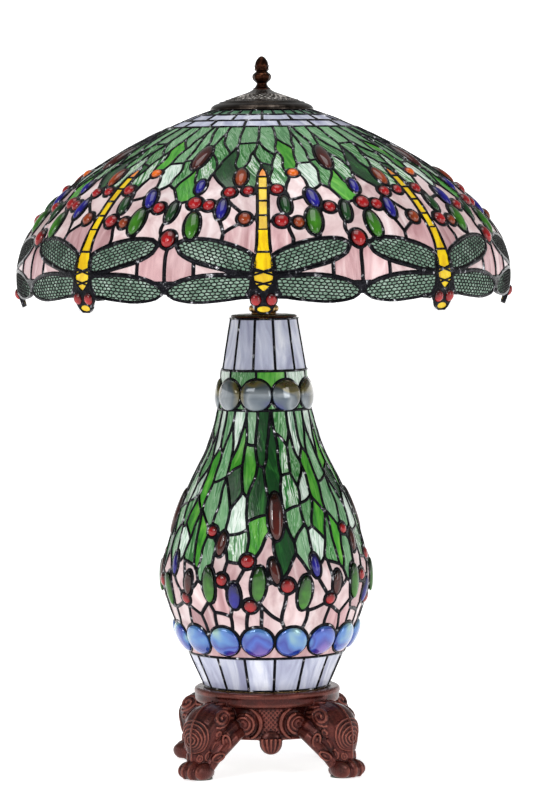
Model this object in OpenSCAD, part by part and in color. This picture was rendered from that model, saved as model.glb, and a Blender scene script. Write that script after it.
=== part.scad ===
// Stained glass table lamp with a dragonfly shade, a lit glass vase and a cast footed base.
// +Z is up, the origin is on the lamp's axis in the plane of its feet, and the front is towards -Y.
// Pattern positions are given as [angle, distance down the outline], with angle 0 at the front.

/* [Glass] */
// Thickness of the sheet glass
glass_t = 2.4; // [2:0.1:2.6]
// Gap between a pane's edge and the line of its seam
seam_gap = 0.9; // [0.8:0.05:1.2]
// Radius of the soldered lead that covers a seam
came_r = 1.6; // [1.4:0.1:1.8]

/* [Shade] */
// Radius of the glass at the top of the shade
shade_top_r = 52; // [51.5:0.1:52.5]
// Height of the glass at the top of the shade
shade_top_z = 680; // [679.8:0.1:680.2]
// Radius of the crown's arc
crown_arc = 515; // [505:1:525]
// Radius of the shoulder's arc
shoulder_arc = 232; // [228:1:236]
// Radius of the rim's arc
rim_arc = 83; // [81:0.5:85]
// Slope at the top, the foot of the crown, the foot of the shoulder and the rim
shade_slopes = [18.4, 34.3, 54.6, 104.5];
// Number of dragonflies
dragonflies = 8; // [8]
// Half the angle that a dragonfly's body takes
body_half_angle = 2; // [1.9:0.05:2.1]

/* [Vase] */
// Number of panels around the neck
neck_panels = 12; // [12]
// Number of panels around the foot
foot_panels = 16; // [16]
// Number of nuggets in the upper and the lower row
nugget_counts = [9, 16];
// Radius of a nugget
nugget_r = 15.6; // [15:0.1:15.8]

/* [Metal] */
// Radius of the threaded centre pipe
pipe_r = 5.1; // [5:0.1:5.2]
// Radius of the pipe's passage for the wires
pipe_bore_r = 3.6; // [3.4:0.1:3.8]
// Radial clearance of a piece that turns on a shaft
running = 0.08; // [0.05:0.01:0.09]
// Radius of the finial's stud
stud_r = 3.1; // [3:0.05:3.2]
// Radius of the hole that the cord comes in through
cord_hole_r = 4; // [3.5:0.1:4.2]
// Radius of the base's turned ring
base_ring_r = 75.6; // [75:0.1:76]
// Distance from the axis to the middle of a paw's toes
paw_reach = 116; // [114:0.5:117]

/* [Lights] */
// Height of the two sockets under the shade
socket_z = 565; // [562:1:568]
// Radius of a shade bulb
bulb_r = 30; // [28:1:31]
// Radius of the vase bulb
night_bulb_r = 14; // [12:0.5:15]

/* [Hidden] */
$fn = 48;
sector = 360 / dragonflies;
half = sector / 2;
degree = PI / 180;

function on_arc(p, r, a0, s) = let (a = a0 + s / r / degree)
    [p[0] + r * (sin(a) - sin(a0)), p[1] + r * (cos(a) - cos(a0)), a];
crown_len = crown_arc * (shade_slopes[1] - shade_slopes[0]) * degree;
shoulder_len = shoulder_arc * (shade_slopes[2] - shade_slopes[1]) * degree;
shade_top = [shade_top_r, shade_top_z];
crown_foot = on_arc(shade_top, crown_arc, shade_slopes[0], crown_len);
shoulder_foot = on_arc(crown_foot, shoulder_arc, shade_slopes[1], shoulder_len);
// Radius, height and slope of the shade's outside at a distance s down from its top edge
function shade_at(s) =
    s <= crown_len ? on_arc(shade_top, crown_arc, shade_slopes[0], s)
    : s <= crown_len + shoulder_len
        ? on_arc(crown_foot, shoulder_arc, shade_slopes[1], s - crown_len)
        : on_arc(shoulder_foot, rim_arc, shade_slopes[2], s - crown_len - shoulder_len);

// Rows of the shade, as distances down its outline
crown_strip = [0, 14.5];
brick_rows = [[14.5, 31], [31, 48]];
leaf_rows = [[48, 88], [88, 127], [127, 150]];
field_rows = [[150, 192], [192, 236]];
wing_rows = [[237, 268], [270, 298]];
tail_tip = [136, 149];
body_rows = [[150.5, 167], [167, 185], [185, 204], [204, 222], [222, 246], [246, 266], [266, 288]];
head_row = [289, 308];
shade_rings = [0, 14.5, 31, 48, 88, 127, 150, 192, 236];

// Outline of the vase as radius and height, from the neck down
vase_rings = [[35, 467], [44, 414], [45.2, 403], [48.3, 373], [59, 335], [74, 304], [88.5, 273],
    [97.5, 245], [107.5, 203], [102, 177], [95.5, 158], [82.5, 127], [80.5, 123], [65, 88]];
// Panes in each row of the vase between two rings, with 0 where nuggets make the row
vase_panes = [neck_panels, 18, 0, 12, 14, 16, 16, 16, 16, 16, 0, 0, foot_panels];
// Angle of the first seam in each row
vase_first = [15, 5, 0, 0, 0, 0, 0, 0, 0, 0, 0, 0, 6];

pipe_z = [36, 688];
nut_z = [38.5, 43.5];
washer_z = 45;
plate_z = [45, 48];
skirt_z = [37.5, 71];
ring_z = [71, 86];
// Angle that the legs and the tabs are turned by from the vase's own front
base_turn = 3;
top_cap_z = [467.6, 471];
knob_z = 482;
cluster_z = [socket_z - 13, socket_z + 13];
socket_x = [16, 71];
socket_r = 17;
socket_bore_r = 13.6;
bulb_base_r = 12.9;
bulb_x = [50, 115];
spout_x = 40;
cluster_r = 16;
chain_z = [500, 547];
wheel_z = [670.2, 674.2];
top_ring_z = [674.5, 679.5];
coupling_z = [680.5, 692];
stud_top_z = 713;
night_x = 34;
night_z = 150;
pad_t = 1.5;

// Jewels of the shade for one dragonfly: [angle, distance, width, height]
red_jewels = [[4, 170, 12, 12], [-4, 172, 10, 10], [-9, 174, 11, 11], [-18, 189, 13, 14], [-14, 192, 11, 12],
    [17.3, 195, 11, 11], [4.6, 212, 12, 13], [22.5, 226, 15, 16]];
green_jewels = [[-17.3, 217, 13, 31], [12.5, 212, 14, 31], [21.3, 202, 9, 24], [5.7, 191, 9, 22]];
blue_jewels = [[-18, 165, 9, 19], [-10.5, 196, 10, 24], [13.5, 182, 11, 24]];
brown_jewels = [[-6.5, 147, 11, 25], [22.5, 115, 13, 40], [9.5, 143, 10, 10], [8.6, 214, 10, 11], [-4.4, 209, 11, 13]];

// Jewels of the vase for a quarter of its girth: [angle, height, width, height of the jewel]
vase_red = [[11.6, 200, 12, 12], [38.8, 184, 11, 11], [54.5, 251, 10, 10], [64.5, 205, 11, 11],
    [79.4, 223, 12, 12], [80.6, 180, 12, 12]];
vase_green = [[21.6, 192, 12, 30], [52, 201, 12, 31], [86, 202, 12, 30]];
vase_blue = [[28, 219, 9, 21], [71, 190, 11, 23]];
vase_brown = [[6.6, 267, 13, 42], [4.8, 214, 9, 23], [42, 203, 9, 21], [62, 241, 9, 21]];

// Turns the +X side to the angle a around the lamp, where 0 is the front
module at_angle(a) {
    rotate([0, 0, a - 90]) children();
}

module tube(r, bore, z0, z1) {
    translate([0, 0, z0]) difference() {
        cylinder(r = r, h = z1 - z0);
        translate([0, 0, -1]) cylinder(r = bore, h = z1 - z0 + 2);
    }
}

// Lays a flat shape on the cone between two rings, its +Y up the slope and its thickness inwards
module on_cone(low, high, a0, a1) {
    h = (a1 - a0) / 2;
    run = (high[0] - low[0]) * cos(h);
    at_angle((a0 + a1) / 2) translate([low[0] * cos(h), 0, low[1]])
        rotate([0, 0, -90]) rotate([atan2(high[1] - low[1], run), 0, 0]) children();
}

// One flat pane between two rings and two angles
module pane(low, high, a0, a1, t = glass_t) {
    h = (a1 - a0) / 2;
    rise = norm([(high[0] - low[0]) * cos(h), high[1] - low[1]]);
    low_w = low[0] * sin(h) - seam_gap;
    high_w = high[0] * sin(h) - seam_gap;
    on_cone(low, high, a0, a1) linear_extrude(t)
        polygon([[-low_w, seam_gap], [low_w, seam_gap], [high_w, rise - seam_gap], [-high_w, rise - seam_gap]]);
}

module shade_pane(row, a0, a1) {
    pane(shade_at(row[1]), shade_at(row[0]), a0, a1);
}

module shade_row(row, count, first = 0) {
    step = 360 / count;
    for (i = [0:count - 1]) shade_pane(row, first + i * step, first + (i + 1) * step);
}

// A rod of lead down the shade or the vase between two points of the outline
module bar(low, high, a) {
    rise = norm([high[0] - low[0], high[1] - low[1]]);
    at_angle(a) translate([low[0] - came_r / 2, 0, low[1]])
        rotate([0, atan2(high[0] - low[0], high[1] - low[1]), 0])
        translate([0, 0, came_r * 1.3]) cylinder(r = came_r * 0.8, h = rise - came_r * 2.6, $fn = 16);
}

module came_ring(p) {
    rotate_extrude() translate([p[0] - came_r / 2, p[1]]) circle(r = came_r, $fn = 16);
}

// A domed oval jewel in the shade
module jewel(j) {
    p = shade_at(j[1]);
    at_angle(j[0]) translate([p[0], 0, p[1]]) rotate([0, p[2], 0])
        scale([j[3] / 10, j[2] / 10, 1]) sphere(r = 5, $fn = 24);
}

module shade_jewels(list) {
    for (i = [0:dragonflies - 1]) for (j = list) jewel([j[0] + i * sector, j[1], j[2], j[3]]);
}

// Radius of the vase's outline at a height
function vase_r(z) = lookup(z, [for (p = vase_rings) [p[1], p[0]]]);
function vase_tilt(z) = atan2(vase_r(z - 4) - vase_r(z + 4), 8);

module vase_jewels(list) {
    for (i = [0:3]) for (j = list) at_angle(j[0] + i * 90) translate([vase_r(j[1]), 0, j[1]])
        rotate([0, -vase_tilt(j[1]), 0]) scale([1, j[2] / 10, j[3] / 10]) sphere(r = 5, $fn = 24);
}

module nugget_row(count, first, z, out, tilt) {
    for (i = [0:count - 1]) at_angle(first + i * 360 / count) translate([out, 0, z])
        rotate([0, -tilt, 0]) scale([0.5, 1, 1]) sphere(r = nugget_r);
}

module vase_row(i) {
    step = 360 / vase_panes[i];
    for (k = [0:vase_panes[i] - 1])
        pane(vase_rings[i + 1], vase_rings[i], vase_first[i] + k * step, vase_first[i] + (k + 1) * step);
}

// One leg in the plane of the axis, with its knee, ankle and foot
module leg() {
    leg_w = 26;
    rotate([90, 0, 0]) linear_extrude(leg_w, center = true) polygon([[60, 71], [80, 71], [98, 68], [108, 60],
        [111, 50], [107, 40], [101, 30], [104, 20], [116, 14], [116, 4], [92, 4], [88, 12], [89, 26], [88, 36],
        [82, 41], [60, 43]]);
    scroll_r = 11;
    translate([88, 0, 56]) rotate([90, 0, 0]) cylinder(r = scroll_r, h = leg_w + 8, center = true);
    toe_r = 7.5;
    for (y = [-10.5, -3.5, 3.5, 10.5]) translate([paw_reach, y, pad_t + toe_r]) sphere(r = toe_r);
    heel_r = 15;
    translate([paw_reach - 14, 0, pad_t]) cylinder(r = heel_r, h = 12);
}

module base_casting() color("#5a231e") {
    skirt_r = [58, 66];
    rotate_extrude($fn = 96) {
        translate([skirt_r[0], skirt_z[0]]) square([skirt_r[1] - skirt_r[0], skirt_z[1] - skirt_z[0] + 1]);
        polygon([[56, ring_z[0]], [70, ring_z[0]], [base_ring_r - 2, ring_z[0] + 2], [base_ring_r, ring_z[0] + 6],
            [base_ring_r, ring_z[1] - 3], [base_ring_r - 2.5, ring_z[1]], [56, ring_z[1]]]);
    }
    tab_r = 12;
    for (a = [0:90:270]) {
        at_angle(a + 45 + base_turn) leg();
        at_angle(a + base_turn) translate([skirt_r[1] - 4, 0, skirt_z[0] - 3.5]) rotate([0, 90, 0]) cylinder(r = tab_r, h = 8);
    }
}

module foot_pads() color("#201c1a") {
    for (a = [45:90:315]) at_angle(a + base_turn) translate([paw_reach - 14, 0, 0]) cylinder(r = 12, h = pad_t);
}

module base_plate() color("#6f6b66") difference() {
    translate([0, 0, plate_z[0]]) cylinder(r = 58, h = plate_z[1] - plate_z[0]);
    translate([0, 0, plate_z[0] - 1]) cylinder(r = pipe_r, h = 9);
    translate([0, 36, plate_z[0] - 1]) cylinder(r = 6, h = 9);
}

module cord_bushing() color("#181818") translate([0, 36, 0]) {
    tube(6, cord_hole_r, plate_z[0], plate_z[1]);
    tube(9, cord_hole_r, plate_z[0] - 3, plate_z[0]);
    tube(9, cord_hole_r, plate_z[1], plate_z[1] + 2);
}

module center_pipe() color("#c8a452") tube(pipe_r, pipe_bore_r, pipe_z[0], pipe_z[1]);

module hex_nut(across, z0, z1) {
    translate([0, 0, z0]) difference() {
        cylinder(r = across / sqrt(3), h = z1 - z0, $fn = 6);
        translate([0, 0, -1]) cylinder(r = pipe_r, h = z1 - z0 + 2);
    }
}

module pipe_nut() color("#b9973f") hex_nut(16, nut_z[0], nut_z[1]);

module lock_washer() color("#8d8f92") tube(9.5, pipe_r, nut_z[1], washer_z);

module vase_bottom_ring() color("#8a6a33") tube(61.5, 57, ring_z[1], ring_z[1] + 4);

module vase_foot_panels() color("#cdd2e8") vase_row(12);

module vase_field_glass() color("#e2cacf") for (i = [8, 9]) vase_row(i);

module vase_leaf_glass() color("#4f9a4a") for (i = [1, 3, 4, 5, 6, 7]) vase_row(i);

module vase_neck_panels() color("#cdd2e8") vase_row(0);

module vase_upper_nuggets() color("#7e8a8c") nugget_row(nugget_counts[0], -11, 388, 47, -5);

module vase_lower_nuggets() color("#4a6fb8") nugget_row(nugget_counts[1], -6, 142, 88.5, 22);

module vase_jewels_red() color("#96141c") vase_jewels(vase_red);

module vase_jewels_green() color("#468a2a") vase_jewels(vase_green);

module vase_jewels_blue() color("#231a96") vase_jewels(vase_blue);

module vase_jewels_brown() color("#50200f") vase_jewels(vase_brown);

module vase_came_rings() color("#2b2a2a") for (p = vase_rings) came_ring(p);

module vase_came_bars() color("#2b2a2a") for (i = [0:len(vase_panes) - 1]) if (vase_panes[i] > 0)
    for (k = [0:vase_panes[i] - 1]) bar(vase_rings[i + 1], vase_rings[i], vase_first[i] + k * 360 / vase_panes[i]);

module vase_top_cap() color("#7a5a2e") tube(33, pipe_r, top_cap_z[0], top_cap_z[1]);

module neck_knob() color("#8a6232") {
    bead_r = (knob_z - top_cap_z[1]) / 2;
    translate([0, 0, top_cap_z[1] + bead_r]) rotate_extrude() difference() {
        union() {
            translate([9, 0]) circle(r = bead_r);
            translate([0, -bead_r]) square([9, 2 * bead_r]);
        }
        translate([-10, -10]) square([10 + pipe_r, 20]);
    }
}

module stem_tube() color("#8a6232") tube(7.5, pipe_r, knob_z, cluster_z[0]);

module vase_socket_bracket() color("#a8a9ab") {
    difference() {
        union() {
            translate([0, 0, night_z - 8]) cylinder(r = 8.5, h = 8);
            translate([0, -5, night_z - 3]) cube([night_x, 10, 3]);
            translate([night_x, 0, night_z - 3]) cylinder(r = 10, h = 3);
        }
        translate([0, 0, night_z - 9]) cylinder(r = pipe_r, h = 10);
    }
}

module vase_socket() color("#e8e4d8") translate([night_x, 0, night_z]) difference() {
    cylinder(r = 11, h = 34);
    translate([0, 0, 8]) cylinder(r = 7, h = 30);
}

module vase_bulb() color("#f4f0e0") translate([night_x, 0, night_z]) {
    translate([0, 0, 12]) cylinder(r = 6.2, h = 26);
    translate([0, 0, 36]) cylinder(r1 = 6.2, r2 = 12, h = 8);
    translate([0, 0, 50]) sphere(r = night_bulb_r);
}

module cluster_body() color("#8a6232") {
    tube(cluster_r, pipe_r, cluster_z[0], cluster_z[1]);
    tube(9, pipe_r, cluster_z[1], cluster_z[1] + 6);
}

// A lamp socket along +X, with its mouth outwards and the pull chain's spout below
module socket() {
    difference() {
        union() {
            translate([socket_x[0] - 4, 0, 0]) rotate([0, 90, 0]) cylinder(r = socket_r - 5, h = 14);
            translate([socket_x[0] + 8, 0, 0]) rotate([0, 90, 0])
                cylinder(r = socket_r, h = socket_x[1] - socket_x[0] - 8);
            translate([spout_x, 0, -26]) cylinder(r = 4, h = 14);
        }
        translate([bulb_x[0] - 4, 0, 0]) rotate([0, 90, 0]) cylinder(r = socket_bore_r, h = 40);
        translate([spout_x, 0, -30]) cylinder(r = 2, h = 16);
        translate([0, 0, -20]) cylinder(r = cluster_r, h = 40);
    }
}

module socket_left() color("#7c5a30") translate([0, 0, socket_z]) mirror([1, 0, 0]) socket();

module socket_right() color("#7c5a30") translate([0, 0, socket_z]) socket();

module bulb() {
    translate([bulb_x[0], 0, 0]) rotate([0, 90, 0]) cylinder(r = bulb_base_r, h = 27);
    translate([bulb_x[0] + 26, 0, 0]) rotate([0, 90, 0]) cylinder(r1 = bulb_base_r, r2 = 26.5, h = 26);
    translate([bulb_x[1], 0, 0]) sphere(r = bulb_r);
}

module bulb_left() color("#f4f0e0") translate([0, 0, socket_z]) mirror([1, 0, 0]) bulb();

module bulb_right() color("#f4f0e0") translate([0, 0, socket_z]) bulb();

module pull_chain() {
    translate([spout_x, 0, chain_z[0]]) {
        cylinder(r = 1.2, h = chain_z[1] - chain_z[0]);
        sphere(r = 4);
    }
}

module pull_chain_left() color("#c8a452") mirror([1, 0, 0]) pull_chain();

module pull_chain_right() color("#c8a452") pull_chain();

module wheel_nut() color("#b9973f") hex_nut(18, wheel_z[0] - 6.5, wheel_z[0] - 1.3);

module stud_coupling() color("#b9973f") difference() {
    translate([0, 0, coupling_z[0]]) cylinder(r = 7.2, h = coupling_z[1] - coupling_z[0]);
    translate([0, 0, coupling_z[0] - 1]) cylinder(r = pipe_r, h = pipe_z[1] - coupling_z[0] + 1);
    translate([0, 0, coupling_z[0]]) cylinder(r = stud_r, h = 20);
}

module finial_stud() color("#c8a452") translate([0, 0, pipe_z[1]]) cylinder(r = stud_r, h = stud_top_z - pipe_z[1]);

module shade_wheel() color("#a8853f") {
    rim_r = [41, 47];
    difference() {
        union() {
            tube(rim_r[1], rim_r[0], wheel_z[0], wheel_z[1]);
            translate([0, 0, wheel_z[0] - 1]) cylinder(r = 11, h = wheel_z[1] - wheel_z[0] + 4);
            for (a = [0:120:240]) rotate([0, 0, a + 30]) translate([6, -3, wheel_z[0]])
                cube([rim_r[0] - 4, 6, wheel_z[1] - wheel_z[0]]);
        }
        translate([0, 0, wheel_z[0] - 2]) cylinder(r = pipe_r + running, h = 20);
    }
}

module shade_top_ring() color("#8a6a33") tube(50.8, 43, top_ring_z[0], top_ring_z[1]);

module shade_bricks() color("#cdd2e8") {
    shade_row(brick_rows[0], 16);
    shade_row(brick_rows[1], 16, half / 2);
}

module shade_crown_glass() color("#7fa58a") shade_row(crown_strip, 16);

module shade_leaf_glass() color("#4f9a4a") {
    shade_row(leaf_rows[0], 16);
    shade_row(leaf_rows[1], 24, -sector / 6);
    shade_row(leaf_rows[2], 24, -sector / 6);
}

// Pink glass between the bodies, and the slips between the wing tips
module shade_field_glass() color("#e2cacf") for (i = [0:dragonflies - 1]) {
    a = i * sector;
    quarter = (half + body_half_angle) / 2;
    for (row = field_rows) {
        shade_pane(row, a + body_half_angle, a + quarter);
        shade_pane(row, a + quarter, a + half);
        shade_pane(row, a - half, a - quarter);
        shade_pane(row, a - quarter, a - body_half_angle);
    }
    shade_pane([wing_rows[0][0], 281], a + half - 2.2, a + half + 2.2);
}

// The plan of one wing, a six-sided pane that is widest past its middle
module wing_plan(span, depth) {
    polygon([[-span / 2, depth * 0.3], [-span * 0.2, seam_gap], [span * 0.3, seam_gap], [span / 2, depth * 0.4],
        [span * 0.42, depth * 0.8], [span * 0.15, depth - seam_gap], [-span * 0.3, depth - seam_gap],
        [-span / 2, depth * 0.7]]);
}

// Lays a plan over each wing's place in the shade, mirrored on the left side
module each_wing() {
    wing_half = 9;
    for (i = [0:dragonflies - 1]) for (row = wing_rows) for (side = [-1, 1]) {
        low = shade_at(row[1]);
        high = shade_at(row[0]);
        mid = i * sector + side * (body_half_angle + 0.4 + wing_half);
        on_cone(low, high, mid - wing_half, mid + wing_half) mirror([side > 0 ? 1 : 0, 0, 0]) {
            $span = 2 * min(low[0], high[0]) * sin(wing_half) - 1;
            $depth = norm([(high[0] - low[0]) * cos(wing_half), high[1] - low[1]]);
            children();
        }
    }
}

module dragonfly_wings() color("#8ca596") each_wing() linear_extrude(glass_t) wing_plan($span, $depth);

// Pierced metal that lies on the outside of each wing's glass
module wing_filigree() color("#1d1c1b") each_wing() translate([0, 0, -0.6]) linear_extrude(0.6) difference() {
    wing_plan($span, $depth);
    for (x = [-2:2]) for (y = [1, 2])
        translate([x * $span / 7 - $span * 0.055, $depth * y / 3 - 4]) square([$span * 0.11, 7]);
}

module dragonfly_bodies() color("#ebcd1e") for (i = [0:dragonflies - 1]) {
    a = i * sector;
    for (row = body_rows) {
        wide = 4.2 + (row[0] - body_rows[0][0]) * 0.032;
        low = shade_at(row[1]);
        on_cone(low, shade_at(row[0]), a - 0.5, a + 0.5) linear_extrude(glass_t)
            translate([-wide, seam_gap]) square([2 * wide, row[1] - row[0] - 2 * seam_gap]);
    }
    low = shade_at(head_row[1]);
    on_cone(low, shade_at(head_row[0]), a - 0.5, a + 0.5) linear_extrude(glass_t)
        polygon([[-4, 0], [4, 0], [9, 10], [8, 17], [-8, 17], [-9, 10]]);
}

module dragonfly_tail_tips() color("#f0a050") for (i = [0:dragonflies - 1]) {
    rise = tail_tip[1] - tail_tip[0];
    on_cone(shade_at(tail_tip[1]), shade_at(tail_tip[0]), i * sector - 0.5, i * sector + 0.5)
        translate([0, 0, -1.6]) linear_extrude(1.5) polygon([[-3.5, 0], [3.5, 0], [0, rise]]);
}

module dragonfly_eyes() color("#c01014") for (i = [0:dragonflies - 1]) for (side = [-1, 1])
    jewel([i * sector + side * 1.45, 295, 11, 11]);

module shade_jewels_red() color("#96141c") shade_jewels(red_jewels);

module shade_jewels_green() color("#468a2a") shade_jewels(green_jewels);

module shade_jewels_blue() color("#231a96") shade_jewels(blue_jewels);

module shade_jewels_brown() color("#6a2c12") shade_jewels(brown_jewels);

module shade_came_rings() color("#2b2a2a") for (s = shade_rings) came_ring(shade_at(s));

module shade_bars(row, count, first = 0) {
    for (i = [0:count - 1]) bar(shade_at(row[1]), shade_at(row[0]), first + i * 360 / count);
}

module shade_came_bars() color("#2b2a2a") {
    shade_bars(crown_strip, 16);
    shade_bars(brick_rows[0], 16);
    shade_bars(brick_rows[1], 16, half / 2);
    shade_bars(leaf_rows[0], 16);
    shade_bars(leaf_rows[1], 24, -sector / 6);
    shade_bars(leaf_rows[2], 24, -sector / 6);
    for (row = field_rows) shade_bars(row, dragonflies, half);
    for (side = [-1, 1]) shade_bars([wing_rows[0][0] + 2, 280], dragonflies, half + side * 2.2);
}

// Vented cap: rolled rim, pierced cone and a boss with the stud's hole
module heat_cap() color("#4a4744") difference() {
    rotate_extrude($fn = 96) polygon([[45, 682.2], [51.4, 682.2], [53.4, 684.4], [52.6, 686.6], [50, 687.4],
        [42, 688.6], [38.5, 690.2], [12, 699], [9, 701.4], [stud_r + 0.5, 701.4], [stud_r + 0.5, 699.8],
        [8.4, 699.8], [11.4, 697.4], [37.8, 688.6], [41.4, 687], [45, 686.2]]);
    slots = 24;
    for (i = [0:slots - 1]) {
        rotate([0, 0, i * 360 / slots]) translate([33, 0, 680]) cylinder(r = 2.6, h = 30, $fn = 4);
        rotate([0, 0, (i + 0.5) * 360 / slots]) translate([26, 0, 680]) cylinder(r = 2.1, h = 30, $fn = 4);
    }
}

module finial() color("#3a2218") {
    foot_z = 701.7;
    bore = stud_r + running;
    rotate_extrude() polygon([[bore, foot_z], [9, foot_z], [9, foot_z + 1.5], [5.4, foot_z + 5], [5.4, foot_z + 7],
        [8, foot_z + 8.5], [9.4, foot_z + 12], [9, foot_z + 16], [6, foot_z + 18.5], [7.3, foot_z + 21.5],
        [6.9, foot_z + 26], [4.6, foot_z + 31], [1.8, foot_z + 33.6], [0, foot_z + 34.3], [0, foot_z + 13],
        [bore, foot_z + 13]]);
}

base_casting();
foot_pads();
base_plate();
cord_bushing();
center_pipe();
pipe_nut();
lock_washer();
vase_bottom_ring();
vase_foot_panels();
vase_field_glass();
vase_leaf_glass();
vase_neck_panels();
vase_upper_nuggets();
vase_lower_nuggets();
vase_jewels_red();
vase_jewels_green();
vase_jewels_blue();
vase_jewels_brown();
vase_came_rings();
vase_came_bars();
vase_top_cap();
neck_knob();
stem_tube();
vase_socket_bracket();
vase_socket();
vase_bulb();
cluster_body();
socket_left();
socket_right();
bulb_left();
bulb_right();
pull_chain_left();
pull_chain_right();
wheel_nut();
stud_coupling();
finial_stud();
shade_wheel();
shade_top_ring();
shade_bricks();
shade_crown_glass();
shade_leaf_glass();
shade_field_glass();
dragonfly_wings();
wing_filigree();
dragonfly_bodies();
dragonfly_tail_tips();
dragonfly_eyes();
shade_jewels_red();
shade_jewels_green();
shade_jewels_blue();
shade_jewels_brown();
shade_came_rings();
shade_came_bars();
heat_cap();
finial();
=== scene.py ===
"""Stained glass dragonfly table lamp: every visible surface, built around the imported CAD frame."""
import math
import random

import bmesh
import bpy
from mathutils import Matrix, Vector, noise
from mathutils.geometry import delaunay_2d_cdt

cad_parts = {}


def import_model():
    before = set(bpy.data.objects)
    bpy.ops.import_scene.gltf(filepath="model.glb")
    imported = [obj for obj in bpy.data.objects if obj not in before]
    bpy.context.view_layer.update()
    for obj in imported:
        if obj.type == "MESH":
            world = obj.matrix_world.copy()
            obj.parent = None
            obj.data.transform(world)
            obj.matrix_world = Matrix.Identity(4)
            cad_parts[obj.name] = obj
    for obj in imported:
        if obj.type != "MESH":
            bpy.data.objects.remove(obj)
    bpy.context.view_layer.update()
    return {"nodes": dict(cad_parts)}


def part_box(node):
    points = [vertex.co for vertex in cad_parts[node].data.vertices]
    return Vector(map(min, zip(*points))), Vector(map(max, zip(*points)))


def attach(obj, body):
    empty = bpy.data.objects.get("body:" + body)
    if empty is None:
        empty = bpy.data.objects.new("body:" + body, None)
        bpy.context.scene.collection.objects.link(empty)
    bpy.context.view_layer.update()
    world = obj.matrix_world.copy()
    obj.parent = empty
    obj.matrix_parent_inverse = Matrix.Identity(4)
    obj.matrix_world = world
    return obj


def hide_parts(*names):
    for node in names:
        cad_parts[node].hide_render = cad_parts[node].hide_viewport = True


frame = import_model()

MM = 0.001
CAP_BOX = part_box("heat_cap")
FINIAL_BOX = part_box("finial")
CASTING_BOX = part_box("base_casting")

# ---------------------------------------------------------------- outlines of the two glass bodies


class Outline:
    """A surface of revolution, by distance s in mm down its outline and angle a in degrees from the front."""

    def point(self, s):
        """Radius, height and outward normal at s."""
        raise NotImplementedError

    def at(self, a, s, out=0.0):
        r, z, nr, nz = self.point(s)
        r += out * nr
        z += out * nz
        t = math.radians(a)
        return Vector((r * math.sin(t) * MM, -r * math.cos(t) * MM, z * MM))

    def frame(self, a, s):
        """Unit vectors outwards, sideways and down the outline."""
        _, _, nr, nz = self.point(s)
        t = math.radians(a)
        out = Vector((nr * math.sin(t), -nr * math.cos(t), nz))
        side = Vector((math.cos(t), math.sin(t), 0))
        return out, side, side.cross(out)


class ArcOutline(Outline):
    """Tangent arcs, each [radius, slope at its start, slope at its end]."""

    def __init__(self, r, z, arcs):
        self.arcs = []
        start = 0.0
        for radius, a0, a1 in arcs:
            length = radius * math.radians(a1 - a0)
            self.arcs.append((start, length, r, z, radius, a0))
            r += radius * (math.sin(math.radians(a1)) - math.sin(math.radians(a0)))
            z += radius * (math.cos(math.radians(a1)) - math.cos(math.radians(a0)))
            start += length

    def point(self, s):
        for start, length, r, z, radius, a0 in self.arcs:
            if s <= start + length or start == self.arcs[-1][0]:
                a = math.radians(a0) + (s - start) / radius
                b = math.radians(a0)
                return (r + radius * (math.sin(a) - math.sin(b)), z + radius * (math.cos(a) - math.cos(b)),
                        math.sin(a), math.cos(a))


class CurveOutline(Outline):
    """A smooth curve through points of radius and height, from the top down."""

    def __init__(self, points):
        self.p = [Vector(p) for p in points]
        self.s = [0.0]
        for a, b in zip(self.p, self.p[1:]):
            self.s.append(self.s[-1] + (b - a).length)
        self.tangents = []
        for i in range(len(self.p)):
            lo = max(i - 1, 0)
            hi = min(i + 1, len(self.p) - 1)
            self.tangents.append((self.p[hi] - self.p[lo]) / (self.s[hi] - self.s[lo]))

    def point(self, s):
        i = 0
        while i < len(self.p) - 2 and s > self.s[i + 1]:
            i += 1
        h = self.s[i + 1] - self.s[i]
        t = (s - self.s[i]) / h
        m0 = self.tangents[i] * h
        m1 = self.tangents[i + 1] * h
        p = (self.p[i] * (2 * t ** 3 - 3 * t * t + 1) + m0 * (t ** 3 - 2 * t * t + t)
             + self.p[i + 1] * (3 * t * t - 2 * t ** 3) + m1 * (t ** 3 - t * t))
        d = (self.p[i] * (6 * t * t - 6 * t) + m0 * (3 * t * t - 4 * t + 1)
             + self.p[i + 1] * (6 * t - 6 * t * t) + m1 * (3 * t * t - 2 * t))
        d.normalize()
        return p.x, p.y, -d.y, d.x


SHADE = ArcOutline(52, 680, [(515, 18.4, 34.3), (232, 34.3, 54.6), (83, 54.6, 104.5)])
VASE = CurveOutline([(35, 467), (44, 414), (45.2, 403), (48.3, 373), (59, 335), (74, 304), (88.5, 273),
                     (97.5, 245), (103, 226), (107.5, 203), (106, 190), (102, 177), (95.5, 158), (90, 142),
                     (82.5, 127), (80.5, 123), (64.3, 86.4)])

# ---------------------------------------------------------------- meshes


def new_object(name, verts, faces, smooth=True):
    mesh = bpy.data.meshes.new(name)
    mesh.from_pydata([tuple(v) for v in verts], [], faces)
    mesh.validate()
    mesh.update()
    obj = bpy.data.objects.new(name, mesh)
    bpy.context.scene.collection.objects.link(obj)
    if smooth:
        mesh.polygons.foreach_set("use_smooth", [True] * len(mesh.polygons))
    return obj


def sharpen(obj, degrees):
    """Smooth shading that breaks at edges sharper than an angle."""
    bm = bmesh.new()
    bm.from_mesh(obj.data)
    for e in bm.edges:
        e.smooth = len(e.link_faces) == 2 and e.calc_face_angle(0) < math.radians(degrees)
    bm.to_mesh(obj.data)
    bm.free()


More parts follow.
